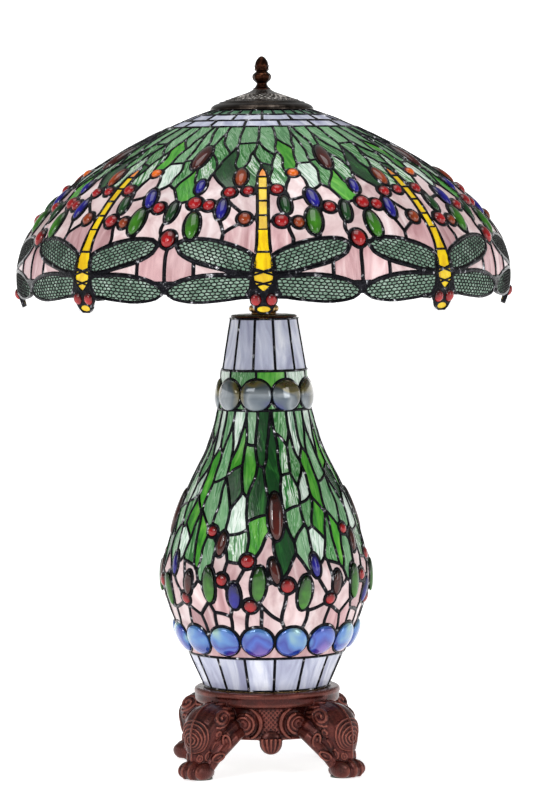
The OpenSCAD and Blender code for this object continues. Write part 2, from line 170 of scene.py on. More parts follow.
class Builder:
    """Collects the vertices, faces and flow coordinates of one object."""

    def __init__(self):
        self.verts = []
        self.faces = []
        self.flow = []

    def add(self, verts, faces, flow=None):
        base = len(self.verts)
        self.verts += verts
        self.faces += [tuple(base + i for i in f) for f in faces]
        self.flow += flow if flow else [(0.0, 0.0, 0.0)] * len(verts)

    def make(self, name, degrees=40):
        obj = new_object(name, self.verts, self.faces)
        layer = obj.data.attributes.new("flow", "FLOAT_VECTOR", "POINT")
        layer.data.foreach_set("vector", [c for f in self.flow for c in f])
        sharpen(obj, degrees)
        return obj


# ---------------------------------------------------------------- flat geometry of the pattern


def clip(poly, nx, ny, c):
    """The part of a convex polygon where nx * x + ny * y <= c."""
    out = []
    for i, p in enumerate(poly):
        q = poly[(i + 1) % len(poly)]
        dp = nx * p[0] + ny * p[1] - c
        dq = nx * q[0] + ny * q[1] - c
        if dp <= 0:
            out.append(p)
        if (dp < 0 < dq) or (dq < 0 < dp):
            t = dp / (dp - dq)
            out.append((p[0] + (q[0] - p[0]) * t, p[1] + (q[1] - p[1]) * t))
    return out


def voronoi(seeds, others, domain, squeeze, release):
    """The cell of each seed among seeds and others, in a plane whose second axis is squeezed, then released."""
    flat = [(x, squeeze(y)) for x, y in list(seeds) + list(others)]
    cells = []
    for i in range(len(seeds)):
        sx, sy = flat[i]
        poly = [(x, squeeze(y)) for x, y in domain]
        near = sorted(range(len(flat)), key=lambda k: (flat[k][0] - sx) ** 2 + (flat[k][1] - sy) ** 2)
        for k in near[1:28]:
            ox, oy = flat[k]
            poly = clip(poly, ox - sx, oy - sy, (ox * ox + oy * oy - sx * sx - sy * sy) / 2)
            if len(poly) < 3:
                break
        cells.append([(x, release(y)) for x, y in split_long(poly, 3)])
    return cells


def squeezer(knee, above, below):
    """A squeeze of distances, by one factor above the knee and another below it, and its release."""
    def squeeze(s):
        return above * s if s < knee else above * knee + below * (s - knee)

    def release(y):
        return y / above if y < above * knee else knee + (y - above * knee) / below

    return squeeze, release


def area(loop):
    return sum(p[0] * q[1] - q[0] * p[1] for p, q in zip(loop, loop[1:] + loop[:1])) / 2


def winding(x, y, loops):
    """How many times the loops run round a point."""
    total = 0
    for loop in loops:
        px, py = loop[-1]
        for qx, qy in loop:
            if (py <= y) != (qy <= y):
                left = (qx - px) * (y - py) - (x - px) * (qy - py)
                if py <= y and left > 0:
                    total += 1
                elif py > y and left < 0:
                    total -= 1
            px, py = qx, qy
    return total


def split_long(loop, step):
    out = []
    for p, q in zip(loop, loop[1:] + loop[:1]):
        n = max(1, math.ceil(math.dist(p, q) / step - 1e-6))
        out += [(p[0] + (q[0] - p[0]) * k / n, p[1] + (q[1] - p[1]) * k / n) for k in range(n)]
    return out


def edge_distance(points, loops):
    """Distance of each point from the loops."""
    segments = []
    for loop in loops:
        for p, q in zip(loop, loop[1:] + loop[:1]):
            dx, dy = q[0] - p[0], q[1] - p[1]
            segments.append((p[0], p[1], dx, dy, max(dx * dx + dy * dy, 1e-12)))
    out = []
    for x, y in points:
        best = 1e9
        for px, py, dx, dy, n in segments:
            t = ((x - px) * dx + (y - py) * dy) / n
            t = 0.0 if t < 0 else 1.0 if t > 1 else t
            d = (x - px - t * dx) ** 2 + (y - py - t * dy) ** 2
            if d < best:
                best = d
        out.append(math.sqrt(best))
    return out


def offset_loop(loop, w):
    """The loop moved to its left by w, with mitred corners."""
    n = len(loop)
    out = []
    for i in range(n):
        p, q, r = loop[i - 1], loop[i], loop[(i + 1) % n]
        ax, ay = q[0] - p[0], q[1] - p[1]
        bx, by = r[0] - q[0], r[1] - q[1]
        la, lb = math.hypot(ax, ay) or 1e-9, math.hypot(bx, by) or 1e-9
        nx, ny = -ay / la - by / lb, ax / la + bx / lb
        m = nx * nx + ny * ny
        if m < 1e-6:
            out.append(q)
            continue
        k = min(2 * w / m, 2.5 * w / math.sqrt(m))
        out.append((q[0] + nx * k, q[1] + ny * k))
    return out


def triangulate(loops, extra=()):
    """Triangles of the plane with the loops as edges and the extra points as corners: points and triples."""
    verts, edges = [], []
    for loop in loops:
        base = len(verts)
        verts += [Vector(p) for p in loop]
        edges += [(base + i, base + (i + 1) % len(loop)) for i in range(len(loop))]
    verts += [Vector(p) for p in extra]
    points, _, faces, _, _, _ = delaunay_2d_cdt(verts, edges, [], 0, 1e-4, False)
    return [(p.x, p.y) for p in points], [tuple(f) for f in faces if len(f) == 3]


def boundary_loops(faces):
    """Directed loops of the edges that only one of the faces has."""
    directed = {}
    for f in faces:
        for i in range(len(f)):
            directed[(f[i], f[(i + 1) % len(f)])] = True
    follow = {}
    for a, b in directed:
        if (b, a) not in directed:
            follow.setdefault(a, []).append(b)
    loops = []
    while follow:
        start = next(iter(follow))
        loop = [start]
        at = follow[start].pop()
        if not follow[start]:
            del follow[start]
        while at != start:
            loop.append(at)
            if at not in follow:
                break
            step = follow[at].pop()
            if not follow[at]:
                del follow[at]
            at = step
        loops.append(loop)
    return loops


def centre(points, f):
    return sum(points[i][0] for i in f) / len(f), sum(points[i][1] for i in f) / len(f)


def inset(loops, w):
    """The loops of the area more than about w inside the given loops, with crossings cleaned away."""
    raw = [offset_loop(loop, w) for loop in loops]
    points, faces = triangulate(raw)
    kept = []
    for f in faces:
        x, y = centre(points, f)
        if winding(x, y, raw) >= 1 and winding(x, y, loops) >= 1:
            kept.append(f)
    if not kept:
        return []
    out = []
    for loop in boundary_loops(kept):
        flat = [points[i] for i in loop]
        tidy = [p for i, p in enumerate(flat) if math.dist(p, flat[i - 1]) > 0.12]
        if len(tidy) < 3 or (area(tidy) > 0 and area(tidy) < 2.5):
            continue
        far = edge_distance(tidy, loops)
        tidy = [p for p, d in zip(tidy, far) if d > 0.55 * w]
        if len(tidy) >= 3:
            out.append(tidy)
    return out if any(area(loop) > 2.5 for loop in out) else []


def smooth_loop(points, step):
    """A closed curve through the points, as points about step apart."""
    n = len(points)
    out = []
    for i in range(n):
        p0, p1, p2, p3 = (Vector(points[(i + k) % n]) for k in (-1, 0, 1, 2))
        count = max(1, round((p2 - p1).length / step))
        for k in range(count):
            t = k / count
            p = 0.5 * ((2 * p1) + (p2 - p0) * t + (2 * p0 - 5 * p1 + 4 * p2 - p3) * t * t
                       + (3 * p1 - p0 - 3 * p2 + p3) * t ** 3)
            out.append((p.x, p.y))
    return out


# ---------------------------------------------------------------- leaded panels

GLASS_T = 2.4


class Region:
    def __init__(self, kind, polygon, level, came, fill, turn):
        self.kind = kind
        self.polygon = polygon
        self.level = level
        self.came = came
        self.fill = fill
        self.turn = turn


class Panel:
    """Leaded glass that repeats around an outline, drawn as regions in the (a, s) plane.

    Where regions overlap, the higher level wins. Each region gets a pane of its kind, and the seams between
    regions get a rounded bead of solder, outside and inside. A region that is too narrow for a pane is solder.
    """

    def __init__(self, outline, period, mm_per_degree, came=1.35, crest=1.1, back=0.7, depth=GLASS_T, lift=0.0,
                 beaded=True):
        self.outline = outline
        self.period = period
        self.scale = mm_per_degree
        self.came = came
        self.crest = crest
        self.back = back
        self.depth = depth
        self.lift = lift
        self.beaded = beaded
        self.regions = []
        self.mask = None
        self.points = []
        self.grid = {}
        self.sheet = []
        self.panes = []

    def add(self, kind, polygon, level=0, came=None, fill=False, turn=0.0):
        if area(polygon) < 0:
            polygon = polygon[::-1]
        self.regions.append(Region(kind, polygon, level, came or self.came, fill, turn))

    def find(self, a, s, bead):
        """The number of the sheet's vertex at (a, s), which neighbouring regions share."""
        cell = (round(a * 50), round(s * 50))
        for i in (0, -1, 1):
            for j in (0, -1, 1):
                for k in self.grid.get((cell[0] + i, cell[1] + j), ()):
                    p = self.points[k]
                    if abs(p[0] - a) < 0.008 and abs(p[1] - s) < 0.008:
                        return k
        self.points.append((a, s, bead))
        self.grid.setdefault(cell, []).append(len(self.points) - 1)
        return len(self.points) - 1

    def components(self):
        """(region, faces, points) for each connected area of the plane that one region wins."""
        verts, faces, owner = [], [], []
        for i, region in enumerate(self.regions):
            for shift in (0, -self.period, self.period):
                base = len(verts)
                verts += [Vector(((a + shift) * self.scale, s)) for a, s in region.polygon]
                faces.append(tuple(range(base, len(verts))))
                owner.append((region.level, -i, shift))
        if self.mask:
            base = len(verts)
            verts += [Vector((a * self.scale, s)) for a, s in self.mask]
            faces.append(tuple(range(base, len(verts))))
            owner.append(None)
        flat, _, tris, _, _, origins = delaunay_2d_cdt(verts, [], faces, 1, 1e-3, True)
        points = [(p.x / self.scale, p.y) for p in flat]
        label = []
        edges = {}
        for n, (f, ids) in enumerate(zip(tris, origins)):
            owners = [owner[k] for k in ids]
            if self.mask and None not in owners:
                label.append(None)
                continue
            owners = [o for o in owners if o]
            best = max(owners) if owners else None
            label.append(best if best and best[2] == 0 else None)
            if label[-1]:
                for k in range(3):
                    edges.setdefault(frozenset((f[k], f[(k + 1) % 3])), []).append(n)
        links = {}
        for pair in edges.values():
            if len(pair) == 2 and label[pair[0]] == label[pair[1]]:
                links.setdefault(pair[0], []).append(pair[1])
                links.setdefault(pair[1], []).append(pair[0])
        seen = set()
        for n in range(len(tris)):
            if label[n] is None or n in seen:
                continue
            group, stack = [], [n]
            seen.add(n)
            while stack:
                k = stack.pop()
                group.append(k)
                for m in links.get(k, ()):
                    if m not in seen:
                        seen.add(m)
                        stack.append(m)
            yield self.regions[-label[n][1]], [tuple(tris[k]) for k in group], points

    def lay_out(self):
        """Works out the solder sheet and the panes of one period."""
        deg = math.radians(1)
        for region, faces, points in self.components():
            loops = [[points[i] for i in loop] for loop in boundary_loops(faces)]
            mid = sum(p[0] for p in loops[0]) / len(loops[0])

            def to_mm(p):
                return (p[0] - mid) * deg * self.outline.point(p[1])[0], p[1]

            def to_plane(p):
                return mid + p[0] / (deg * self.outline.point(p[1])[0]), p[1]

            flat = [[to_mm(p) for p in loop] for loop in loops]
            w = region.came
            hole = [] if region.fill else inset(flat, w)
            rim = inset(flat, w * 0.5) if self.beaded and (hole or region.fill) else []
            extra = []
            if hole and max(p[0] for p in hole[0]) - min(p[0] for p in hole[0]) > 32 and self.beaded:
                extra = self.grid_points(hole)
            net, tris = triangulate(flat + rim + hole, extra)
            bead = edge_distance(net, flat)
            bead = [math.sqrt(max(0.0, 1 - min(d / w, 1) ** 2)) for d in bead]
            if region.fill or not hole:
                bead = [max(b, 0.8) for b in bead]
            ids = {}
            pane = []
            for f in tris:
                x, y = centre(net, f)
                if winding(x, y, flat) < 1:
                    continue
                in_hole = hole and winding(x, y, hole) >= 1
                if hole and (in_hole or (rim and winding(x, y, rim) >= 1)) and region.kind:
                    pane.append(f)
                if in_hole:
                    continue
                for k in f:
                    if k not in ids:
                        a, s = to_plane(net[k])
                        ids[k] = self.find(a, s, bead[k])
                tri = tuple(ids[k] for k in f)
                if len(set(tri)) == 3:
                    self.sheet.append(tri)
            if pane:
                used = sorted({k for f in pane for k in f})
                at = {k: n for n, k in enumerate(used)}
                self.panes.append((region, [to_plane(net[k]) for k in used], [net[k] for k in used],
                                   [tuple(at[k] for k in f) for f in pane], not extra))

    def grid_points(self, hole):
        xs = [p[0] for p in hole[0]]
        ys = [p[1] for p in hole[0]]
        out = []
        step = 8.0
        for i in range(int((max(xs) - min(xs)) / step) + 1):
            for j in range(int((max(ys) - min(ys)) / step) + 1):
                p = (min(xs) + (i + 0.5) * step, min(ys) + (j + 0.5) * step)
                if winding(p[0], p[1], hole) >= 1 and edge_distance([p], hole)[0] > 2.5:
                    out.append(p)
        return out

    def solder(self, name, copies):
        """The solder of the whole turn as one closed mesh."""
        turn = Panel(self.outline, self.period, self.scale)
        tris = []
        for c in range(copies):
            ids = [turn.find((a + c * self.period) % 360, s, bead) for a, s, bead in self.points]
            tris += [tuple(ids[k] for k in f) for f in self.sheet]
        tris = [f for f in tris if len(set(f)) == 3]
        outer, inner = [], []
        for a, s, bead in turn.points:
            lump = 1 + 0.35 * noise.noise(self.outline.at(a, s) * 90)
            outer.append(self.outline.at(a, s, self.lift + bead * self.crest * lump))
            inner.append(self.outline.at(a, s, self.lift - self.depth - bead * self.back * lump))
        n = len(outer)
        directed = {(f[k], f[(k + 1) % 3]) for f in tris for k in range(3)}
        faces = [f[::-1] for f in tris] + [tuple(k + n for k in f) for f in tris]
        faces += [(i, j, j + n, i + n) for i, j in directed if (j, i) not in directed]
        obj = new_object(name, outer + inner, faces)
        sharpen(obj, 55)
        return obj

    def glaze(self, builders, copies, seed):
        """Adds each pane to its kind's builder, as a closed slab that is flat if it is small."""
        rng = random.Random(seed)
        for c in range(copies):
            for region, plane, flat, tris, level in self.panes:
                face = [self.outline.at(a + c * self.period, s, -0.1) for a, s in plane]
                if level:
                    level_out(face)
                normal = self.outline.frame(plane[0][0] + c * self.period, plane[0][1])[0]
                back = [v - normal * (self.depth * MM) for v in face]
                n = len(face)
                directed = {(f[k], f[(k + 1) % 3]) for f in tris for k in range(3)}
                faces = [f[::-1] for f in tris] + [tuple(k + n for k in f) for f in tris]
                faces += [(i, j, j + n, i + n) for i, j in directed if (j, i) not in directed]
                turn = math.radians(region.turn + rng.uniform(-9, 9))
                seed_z = rng.uniform(0, 900)
                shift = rng.uniform(0, 500)
                flow = [(x * math.cos(turn) + y * math.sin(turn) + shift, y * math.cos(turn) - x * math.sin(turn),
                         seed_z) for x, y in flat]
                builders[region.kind].add(face + back, faces, flow + flow)


def level_out(verts, most=0.7 * MM):
    """Moves the points onto their best plane where none is further off it than most."""
    mid = sum(verts, Vector()) / len(verts)
    far = max(verts, key=lambda v: (v - mid).length)
    across = far - mid
    other = max(verts, key=lambda v: (v - mid).cross(across).length)
    normal = across.cross(other - mid)
    if normal.length < 1e-12:
        return
    normal.normalize()
    off = [(v - mid).dot(normal) for v in verts]
    if max(map(abs, off)) < most:
        for v, d in zip(verts, off):
            v -= normal * d


def ellipse(outline, a, s, wide, high, tilt=0.0, count=20):
    """An ellipse of mm sizes about (a, s)."""
    r = outline.point(s)[0]
    t = math.radians(tilt)
    out = []
    for k in range(count):
        u = 2 * math.pi * k / count
        x, y = wide / 2 * math.cos(u), high / 2 * math.sin(u)
        x, y = x * math.cos(t) - y * math.sin(t), x * math.sin(t) + y * math.cos(t)
        out.append((a + math.degrees(x / r), s + y))
    return out


def dome(builder, outline, a, s, wide, high, rise, sink, tilt=0.0, sides=24, rings=7):
    """A closed cabochon: a dome outside and a shallower one inside."""
    out, side, down = outline.frame(a, s)
    mid = outline.at(a, s)
    t = math.radians(tilt)
    x_axis = side * math.cos(t) + down * math.sin(t)
    y_axis = down * math.cos(t) - side * math.sin(t)
    verts = [mid + out * rise * MM]
    flow = [(0.0, 0.0, 1.0)]
    for k in range(1, 2 * rings):
        u = math.pi * k / (2 * rings)
        ring = math.sin(u)
        lift = math.cos(u) * (rise if k <= rings else sink)
        for i in range(sides):
            v = 2 * math.pi * i / sides
            x, y = ring * math.cos(v), ring * math.sin(v)
            verts.append(mid + x_axis * (x * wide / 2 * MM) + y_axis * (y * high / 2 * MM) + out * lift * MM)
            flow.append((x, y, math.cos(u)))
    verts.append(mid - out * sink * MM)
    flow.append((0.0, 0.0, -1.0))
    faces = []
    last = len(verts) - 1
    for i in range(sides):
        j = (i + 1) % sides
        faces.append((0, 1 + j, 1 + i))
        for k in range(2 * rings - 2):
            p, q = 1 + k * sides, 1 + (k + 1) * sides
            faces.append((p + i, p + j, q + j, q + i))
        p = 1 + (2 * rings - 2) * sides
        faces.append((p + i, p + j, last))
    builder.add(verts, faces, flow)


# ---------------------------------------------------------------- materials


class Nodes:
    """A material whose nodes are made by short calls."""

    def __init__(self, name, **values):
        self.material = bpy.data.materials.new(name)
        self.material.use_nodes = True
        self.tree = self.material.node_tree
        self.shader = self.tree.nodes["Principled BSDF"]
        for socket, value in values.items():
            self.shader.inputs[socket.replace("_", " ")].default_value = value

    def node(self, kind, **settings):
        node = self.tree.nodes.new("ShaderNode" + kind)
        for key, value in settings.items():
            setattr(node, key, value)
        return node

    def link(self, a, b):
        self.tree.links.new(a, b)

    def flow(self, sx, sy, sz=1.0):
        """The pane's own coordinates, in mm across and along its grain, scaled."""
        source = self.node("Attribute", attribute_name="flow")
        scale = self.node("VectorMath", operation="MULTIPLY")
        self.link(source.outputs["Vector"], scale.inputs[0])
        scale.inputs[1].default_value = (sx, sy, sz)
        return scale.outputs[0]

    def place(self, size):
        """Object coordinates in units of size millimetres."""
        source = self.node("TexCoord")
        scale = self.node("VectorMath", operation="MULTIPLY")
        self.link(source.outputs["Object"], scale.inputs[0])
        scale.inputs[1].default_value = (1 / (size * MM),) * 3
        return scale.outputs[0]

    def noise(self, vector, scale=1.0, detail=3.0, rough=0.5, distortion=0.0):
        tex = self.node("TexNoise")
        self.link(vector, tex.inputs["Vector"])
        tex.inputs["Scale"].default_value = scale
        tex.inputs["Detail"].default_value = detail
        tex.inputs["Roughness"].default_value = rough
        tex.inputs["Distortion"].default_value = distortion
        return tex.outputs["Fac"]

    def ramp(self, fac, stops):
        node = self.node("ValToRGB")
        ramp = node.color_ramp
        while len(ramp.elements) < len(stops):
            ramp.elements.new(1.0)
        for element, (at, colour) in zip(ramp.elements, stops):
            element.position = at
            element.color = (*colour, 1)
        self.link(fac, node.inputs["Fac"])
        return node.outputs["Color"]

    def per_pane(self):
        """A random number from 0 to 1 for each pane."""
        source = self.node("Attribute", attribute_name="flow")
        split = self.node("SeparateXYZ")
        self.link(source.outputs["Vector"], split.inputs[0])
        white = self.node("TexWhiteNoise", noise_dimensions="1D")
        self.link(split.outputs["Z"], white.inputs["W"])
        return white.outputs["Value"]

    def spread(self, fac, low, high):
        node = self.node("MapRange")
        self.link(fac, node.inputs["Value"])
        node.inputs["To Min"].default_value = low
        node.inputs["To Max"].default_value = high
        return node.outputs[0]

    def painted_top_sheen(self, low, high, most):
        """A painted sheen on upward faces: 0 where the surface's upward part is below low, growing to most at high."""
        split = self.node("SeparateXYZ")
        self.link(self.node("NewGeometry").outputs["Normal"], split.inputs[0])
        node = self.node("MapRange")
        self.link(split.outputs["Z"], node.inputs["Value"])
        node.inputs["From Min"].default_value = low
        node.inputs["From Max"].default_value = high
        node.inputs["To Max"].default_value = most
        return node.outputs[0]

    def flow_part(self, axis, factor):
        """One of the flow coordinates times a factor."""
        source = self.node("Attribute", attribute_name="flow")
        split = self.node("SeparateXYZ")
        self.link(source.outputs["Vector"], split.inputs[0])
        product = self.node("Math", operation="MULTIPLY")
        self.link(split.outputs[axis], product.inputs[0])
        product.inputs[1].default_value = factor
        return product.outputs[0]

    def sum(self, a, b):
        node = self.node("Math", operation="ADD")
        self.link(a, node.inputs[0])
        self.link(b, node.inputs[1])
        return node.outputs[0]

    def spread_from(self, fac, low, high):
        node = self.node("MapRange")
        self.link(fac, node.inputs["Value"])
        node.inputs["From Min"].default_value = low
        node.inputs["From Max"].default_value = high
        return node.outputs[0]

    def shade_colour(self, colour, value, hue=None, saturation=1.0):
        node = self.node("HueSaturation")
        self.link(colour, node.inputs["Color"])
        self.link(value, node.inputs["Value"])
        if hue:
            self.link(hue, node.inputs["Hue"])
        node.inputs["Saturation"].default_value = saturation
        return node.outputs[0]

    def bump(self, height, strength, distance_mm):
        node = self.node("Bump")
        node.inputs["Strength"].default_value = strength
        node.inputs["Distance"].default_value = distance_mm * MM
        self.link(height, node.inputs["Height"])
        self.link(node.outputs[0], self.shader.inputs["Normal"])
        return node

    def colour(self, socket):
        self.link(socket, self.shader.inputs["Base Color"])

    def rough(self, socket):
        self.link(socket, self.shader.inputs["Roughness"])


def linear(r, g, b):
    """Linear colour from sRGB values out of 255."""
    return tuple(((c / 255) / 12.92 if c <= 10 else ((c / 255 + 0.055) / 1.055) ** 2.4) for c in (r, g, b))


def art_glass(name, stops, across=0.09, along=0.018, ripple=0.5, ripple_across=0.5, ripple_along=0.12,
              vary=(0.82, 1.15), hue=(0.49, 0.51), contrast=1.6, rough=0.2):
    """Streaky opalescent sheet glass, with its streaks and ripples along each pane's grain."""
    n = Nodes(name, Roughness=rough, IOR=1.5, Specular_IOR_Level=0.4)
    streak = n.noise(n.flow(across, along), 1.0, 4.0, 0.55, contrast)
    tint = n.shade_colour(n.ramp(streak, stops), n.spread(n.per_pane(), *vary))
    n.colour(tint)
    wave = n.noise(n.flow(ripple_across, ripple_along), 1.0, 2.0, 0.5, 0.6)
    n.bump(wave, 0.55, ripple)
    return n.material


def glass_materials():
    white = linear(226, 236, 228)
    return {
        "brick": art_glass("lavender_glass", [(0.3, linear(158, 160, 188)), (0.48, linear(190, 194, 216)),
                                              (0.68, linear(226, 228, 240))], 0.05, 0.012, 0.2, 0.12, 0.12,
                           (0.84, 1.06)),
        "crown": art_glass("crown_glass", [(0.3, linear(58, 104, 72)), (0.6, linear(110, 150, 124))]),
        # In leaf_pale and leaf_mid the narrow light stop at 0.5 is a painted glint along the ripples.
        "leaf_pale": art_glass("leaf_pale", [(0.3, linear(66, 118, 76)), (0.46, linear(92, 146, 96)),
                                             (0.5, linear(158, 192, 160)), (0.53, linear(102, 154, 106)),
                                             (0.68, linear(120, 166, 122)), (0.8, linear(172, 202, 172))],
                               0.22, 0.018),
        "leaf_mid": art_glass("leaf_mid", [(0.3, linear(26, 82, 32)), (0.46, linear(50, 116, 52)),
                                           (0.5, linear(150, 186, 150)), (0.54, linear(60, 124, 62)),
                                           (0.7, linear(96, 150, 96))],
                              0.24, 0.02),
        "leaf_bright": art_glass("leaf_bright", [(0.3, linear(28, 96, 24)), (0.5, linear(60, 146, 36)),
                                                 (0.75, linear(116, 184, 72))], 0.09, 0.02),
        "leaf_dark": art_glass("leaf_dark", [(0.3, linear(8, 40, 18)), (0.55, linear(16, 66, 26)),
                                             (0.75, linear(44, 112, 44))], 0.1, 0.02),
        "leaf_streak": art_glass("leaf_streak", [(0.36, linear(26, 92, 36)), (0.47, linear(58, 130, 62)),
                                                 (0.54, white), (0.58, linear(62, 140, 48)), (0.66, white)],
                                 0.2, 0.02, 0.8),
        "leaf_white": art_glass("leaf_white", [(0.34, linear(70, 122, 88)), (0.48, white),
                                               (0.6, linear(166, 196, 174)), (0.72, linear(84, 136, 96))],
                                0.25, 0.02, 0.9),
        "pink": art_glass("pink_glass", [(0.28, linear(184, 150, 152)), (0.48, linear(212, 186, 186)),
                                         (0.68, linear(232, 216, 216))], 0.035, 0.02, 0.15, 0.1, 0.05,
                          (0.86, 1.08)),
        "rose": art_glass("rose_glass", [(0.3, linear(168, 124, 128)), (0.55, linear(200, 162, 164)),
                                         (0.75, linear(224, 200, 200))], 0.06, 0.012, 0.15, 0.1, 0.05),
        "yellow": art_glass("yellow_glass", [(0.3, linear(206, 160, 4)), (0.6, linear(238, 204, 10))], 0.08, 0.02,
                            0.15, 0.15, 0.05, (0.92, 1.06)),
        "amber": art_glass("amber_glass", [(0.3, linear(216, 116, 36)), (0.7, linear(246, 170, 88))], 0.1, 0.02,
                           0.15, 0.15, 0.05),
        "wing": art_glass("wing_glass", [(0.3, linear(78, 104, 88)), (0.5, linear(118, 148, 128)),
                                         (0.7, linear(170, 192, 178))], 0.06, 0.06, 0.4, 0.3, 0.2),
    }


def solder_material():
    n = Nodes("solder", Metallic=0.9, IOR=1.5)
    # The term on upward faces lightens the solder there: a painted sheen of light from above.
    patches = n.sum(n.noise(n.place(7), 1.0, 4.0, 0.6, 0.4), n.painted_top_sheen(0.8, 0.96, 0.15))
    # The ramp's bright top stop gives patches of bare silvery solder that also stand in for glints, a painted
    # highlight.
    n.colour(n.ramp(patches, [(0.5, (0.004, 0.004, 0.006)), (0.6, (0.016, 0.016, 0.02)), (0.72, (0.55, 0.55, 0.58))]))
    n.rough(n.spread(n.noise(n.place(4), 1.0, 3.0), 0.1, 0.36))
    n.bump(n.noise(n.place(2.2), 1.0, 3.0, 0.6), 0.8, 0.6)
    return n.material


def jewel_material(name, dark, light):
    """Polished glass, darker round its rim and near its top and lighter lower down: painted shade and a painted glow
    of light coming through it.
    """
    n = Nodes(name, Roughness=0.07, IOR=1.5, Specular_IOR_Level=0.4, Coat_Weight=0.3, Coat_Roughness=0.01)
    swirl = n.spread(n.noise(n.place(8), 1.0, 2.0), -0.7, 0.7)
    # depth grows down and towards the middle of each jewel; the ramp turns it from painted shade into painted glow.
    depth = n.sum(n.sum(n.flow_part("Y", 0.55), n.flow_part("Z", 0.9)), swirl)
    n.colour(n.ramp(n.spread_from(depth, -0.4, 1.5), [(0.2, dark), (0.9, light)]))
    return n.material


def nugget_material(name, stops):
    """Iridescent pressed glass, whose colours drift at random across each nugget and shift from its top to its bottom;
    that shift is painted light and shade.
    """
    n = Nodes(name, Roughness=0.12, IOR=1.6, Coat_Weight=1.0, Coat_Roughness=0.03, Metallic=0.3)
    drift = n.spread(n.noise(n.place(30), 1.0, 1.5, 0.4, 0.5), -1.3, 1.3)
    # The flow's Y term shifts the colour down each nugget, painted light and shade; the noise drift is the glass's own
    # iridescent colour.
    n.colour(n.ramp(n.spread_from(n.sum(n.flow_part("Y", 0.5), drift), -1, 1), stops))
    n.bump(n.noise(n.place(10), 1.0, 1.0), 0.25, 0.5)
    return n.material


def paint(obj, material):
    obj.data.materials.clear()
    obj.data.materials.append(material)


# ---------------------------------------------------------------- the shade

DRAGONFLIES = 8
SECTOR = 360 / DRAGONFLIES
FIELD_FOOT = 281


def sway(a, s):
    """Bends the straight cell edges of the leaves and the field a little."""
    grown = min(max((s - 50) / 40, 0), 1) * min(max((252 - s) / 20, 0), 1)
    return a + grown * (0.55 * math.sin(2 * math.pi * (s / 58 + 2 * a / SECTOR)) + 0.3 * math.sin(
        2 * math.pi * (s / 31 - 3 * a / SECTOR))), s + grown * 1.2 * math.sin(2 * math.pi * 3 * a / SECTOR)


# Cells of the leaves and the field: kind, angle, distance down the shade
SHADE_SEEDS = [
    ("leaf_pale", -23.6, 66), ("leaf_pale", -14.6, 74), ("leaf_pale", -6.2, 66), ("leaf_pale", 2.2, 84),
    ("leaf_pale", 11, 72), ("leaf_pale", 18.8, 88), ("leaf_mid", -16.6, 104), ("leaf_mid", -6.2, 108),
    ("leaf_bright", 9.2, 112), ("leaf_mid", 1.0, 112), ("leaf_pale", 14.5, 106), ("leaf_streak", -18.3, 132),
    ("leaf_dark", -11.2, 138), ("leaf_streak", -3.4, 140), ("leaf_streak", 4.8, 140), ("leaf_white", 14.8, 146),
    ("leaf_mid", 19.4, 150), ("leaf_bright", -23.0, 164), ("leaf_dark", 0.8, 143),
    ("pink", -14.6, 170), ("pink", -5.4, 189), ("pink", -8.2, 203), ("pink", -21.4, 212), ("pink", -13.4, 222),
    ("rose", -5.2, 232), ("pink", 9.6, 170), ("pink", 2.9, 190), ("pink", 10.2, 196), ("pink", 17.8, 175),
    ("pink", 17.6, 216), ("pink", 8.8, 229), ("rose", 3.8, 231), ("rose", -19.1, 262), ("rose", 19.1, 262),
    ("pink", 12.2, 262), ("pink", -12.2, 262),
]

# Jewels: kind, angle, distance, width, height, tilt
SHADE_JEWELS = [
    ("red", 4, 170, 12.5, 12.5, 0), ("red", -4, 172, 10.5, 11, 0), ("red", -9.1, 174, 12, 12, 0),
    ("red", -18, 189, 14, 15, 0), ("red", -14.1, 192, 12, 12.5, 0), ("red", 17.3, 195, 12.5, 12.5, 0),
    ("red", 4.5, 212, 14, 14, 0), ("red", 22.5, 233, 15, 18, 0),
    ("green", -17.3, 217, 14, 32, -3), ("green", 12.5, 212, 15, 32, 4), ("dark_green", 21.4, 200, 10, 26, 6),
    ("dark_green", 5.8, 191, 10, 24, -5),
    ("blue", -18, 165, 9.5, 21, 2), ("blue", -10.5, 196, 11, 27, 3), ("blue", 13.4, 182, 12, 27, -10),
    ("amber", -6.5, 150, 12, 28, 0), ("brown", 22.6, 115, 14, 44, 4), ("orange", 9.5, 144, 11.5, 11.5, 0),
    ("amber", 8.7, 214, 11, 12, 0), ("amber", -4.5, 209, 12.5, 14, 0),
]

UPPER_WING = [(2.1, 267), (1.9, 252), (5, 243), (9, 236.5), (14, 232.5), (18.5, 233.5), (20.4, 239), (19.2, 248),
              (15.5, 257), (10, 263.5), (5.5, 268)]
LOWER_WING = [(2.1, 273), (6, 270.5), (10, 269.5), (14.5, 271), (18.5, 275), (21.6, 281.5), (22.3, 287), (20.4, 294.5),
              (15.5, 298), (10, 296.5), (5, 293.5), (2.2, 291)]
BODY_SEAMS = [150, 168, 186, 205, 222.5, 247, 266.5]
WING_BORDER = 2.7


def body_half(s):
    """Half the width of a dragonfly's body in mm."""
    return 4.9 + 1.9 * max(0, (s - 200) / 50) ** 2 + 2.4 * math.exp(-((s - 259) / 8.5) ** 2)


def across(s, mm):
    """Degrees of a width in mm at a distance down the shade."""
    return math.degrees(mm / SHADE.point(s)[0])


def wing_outline(wing, side, step):
    """A smooth wing on the right (1) or left (-1) side, as points about step mm apart."""
    scale = 4.2
    return [(x / scale, s) for x, s in smooth_loop([(side * a * scale, s) for a, s in wing], step)]


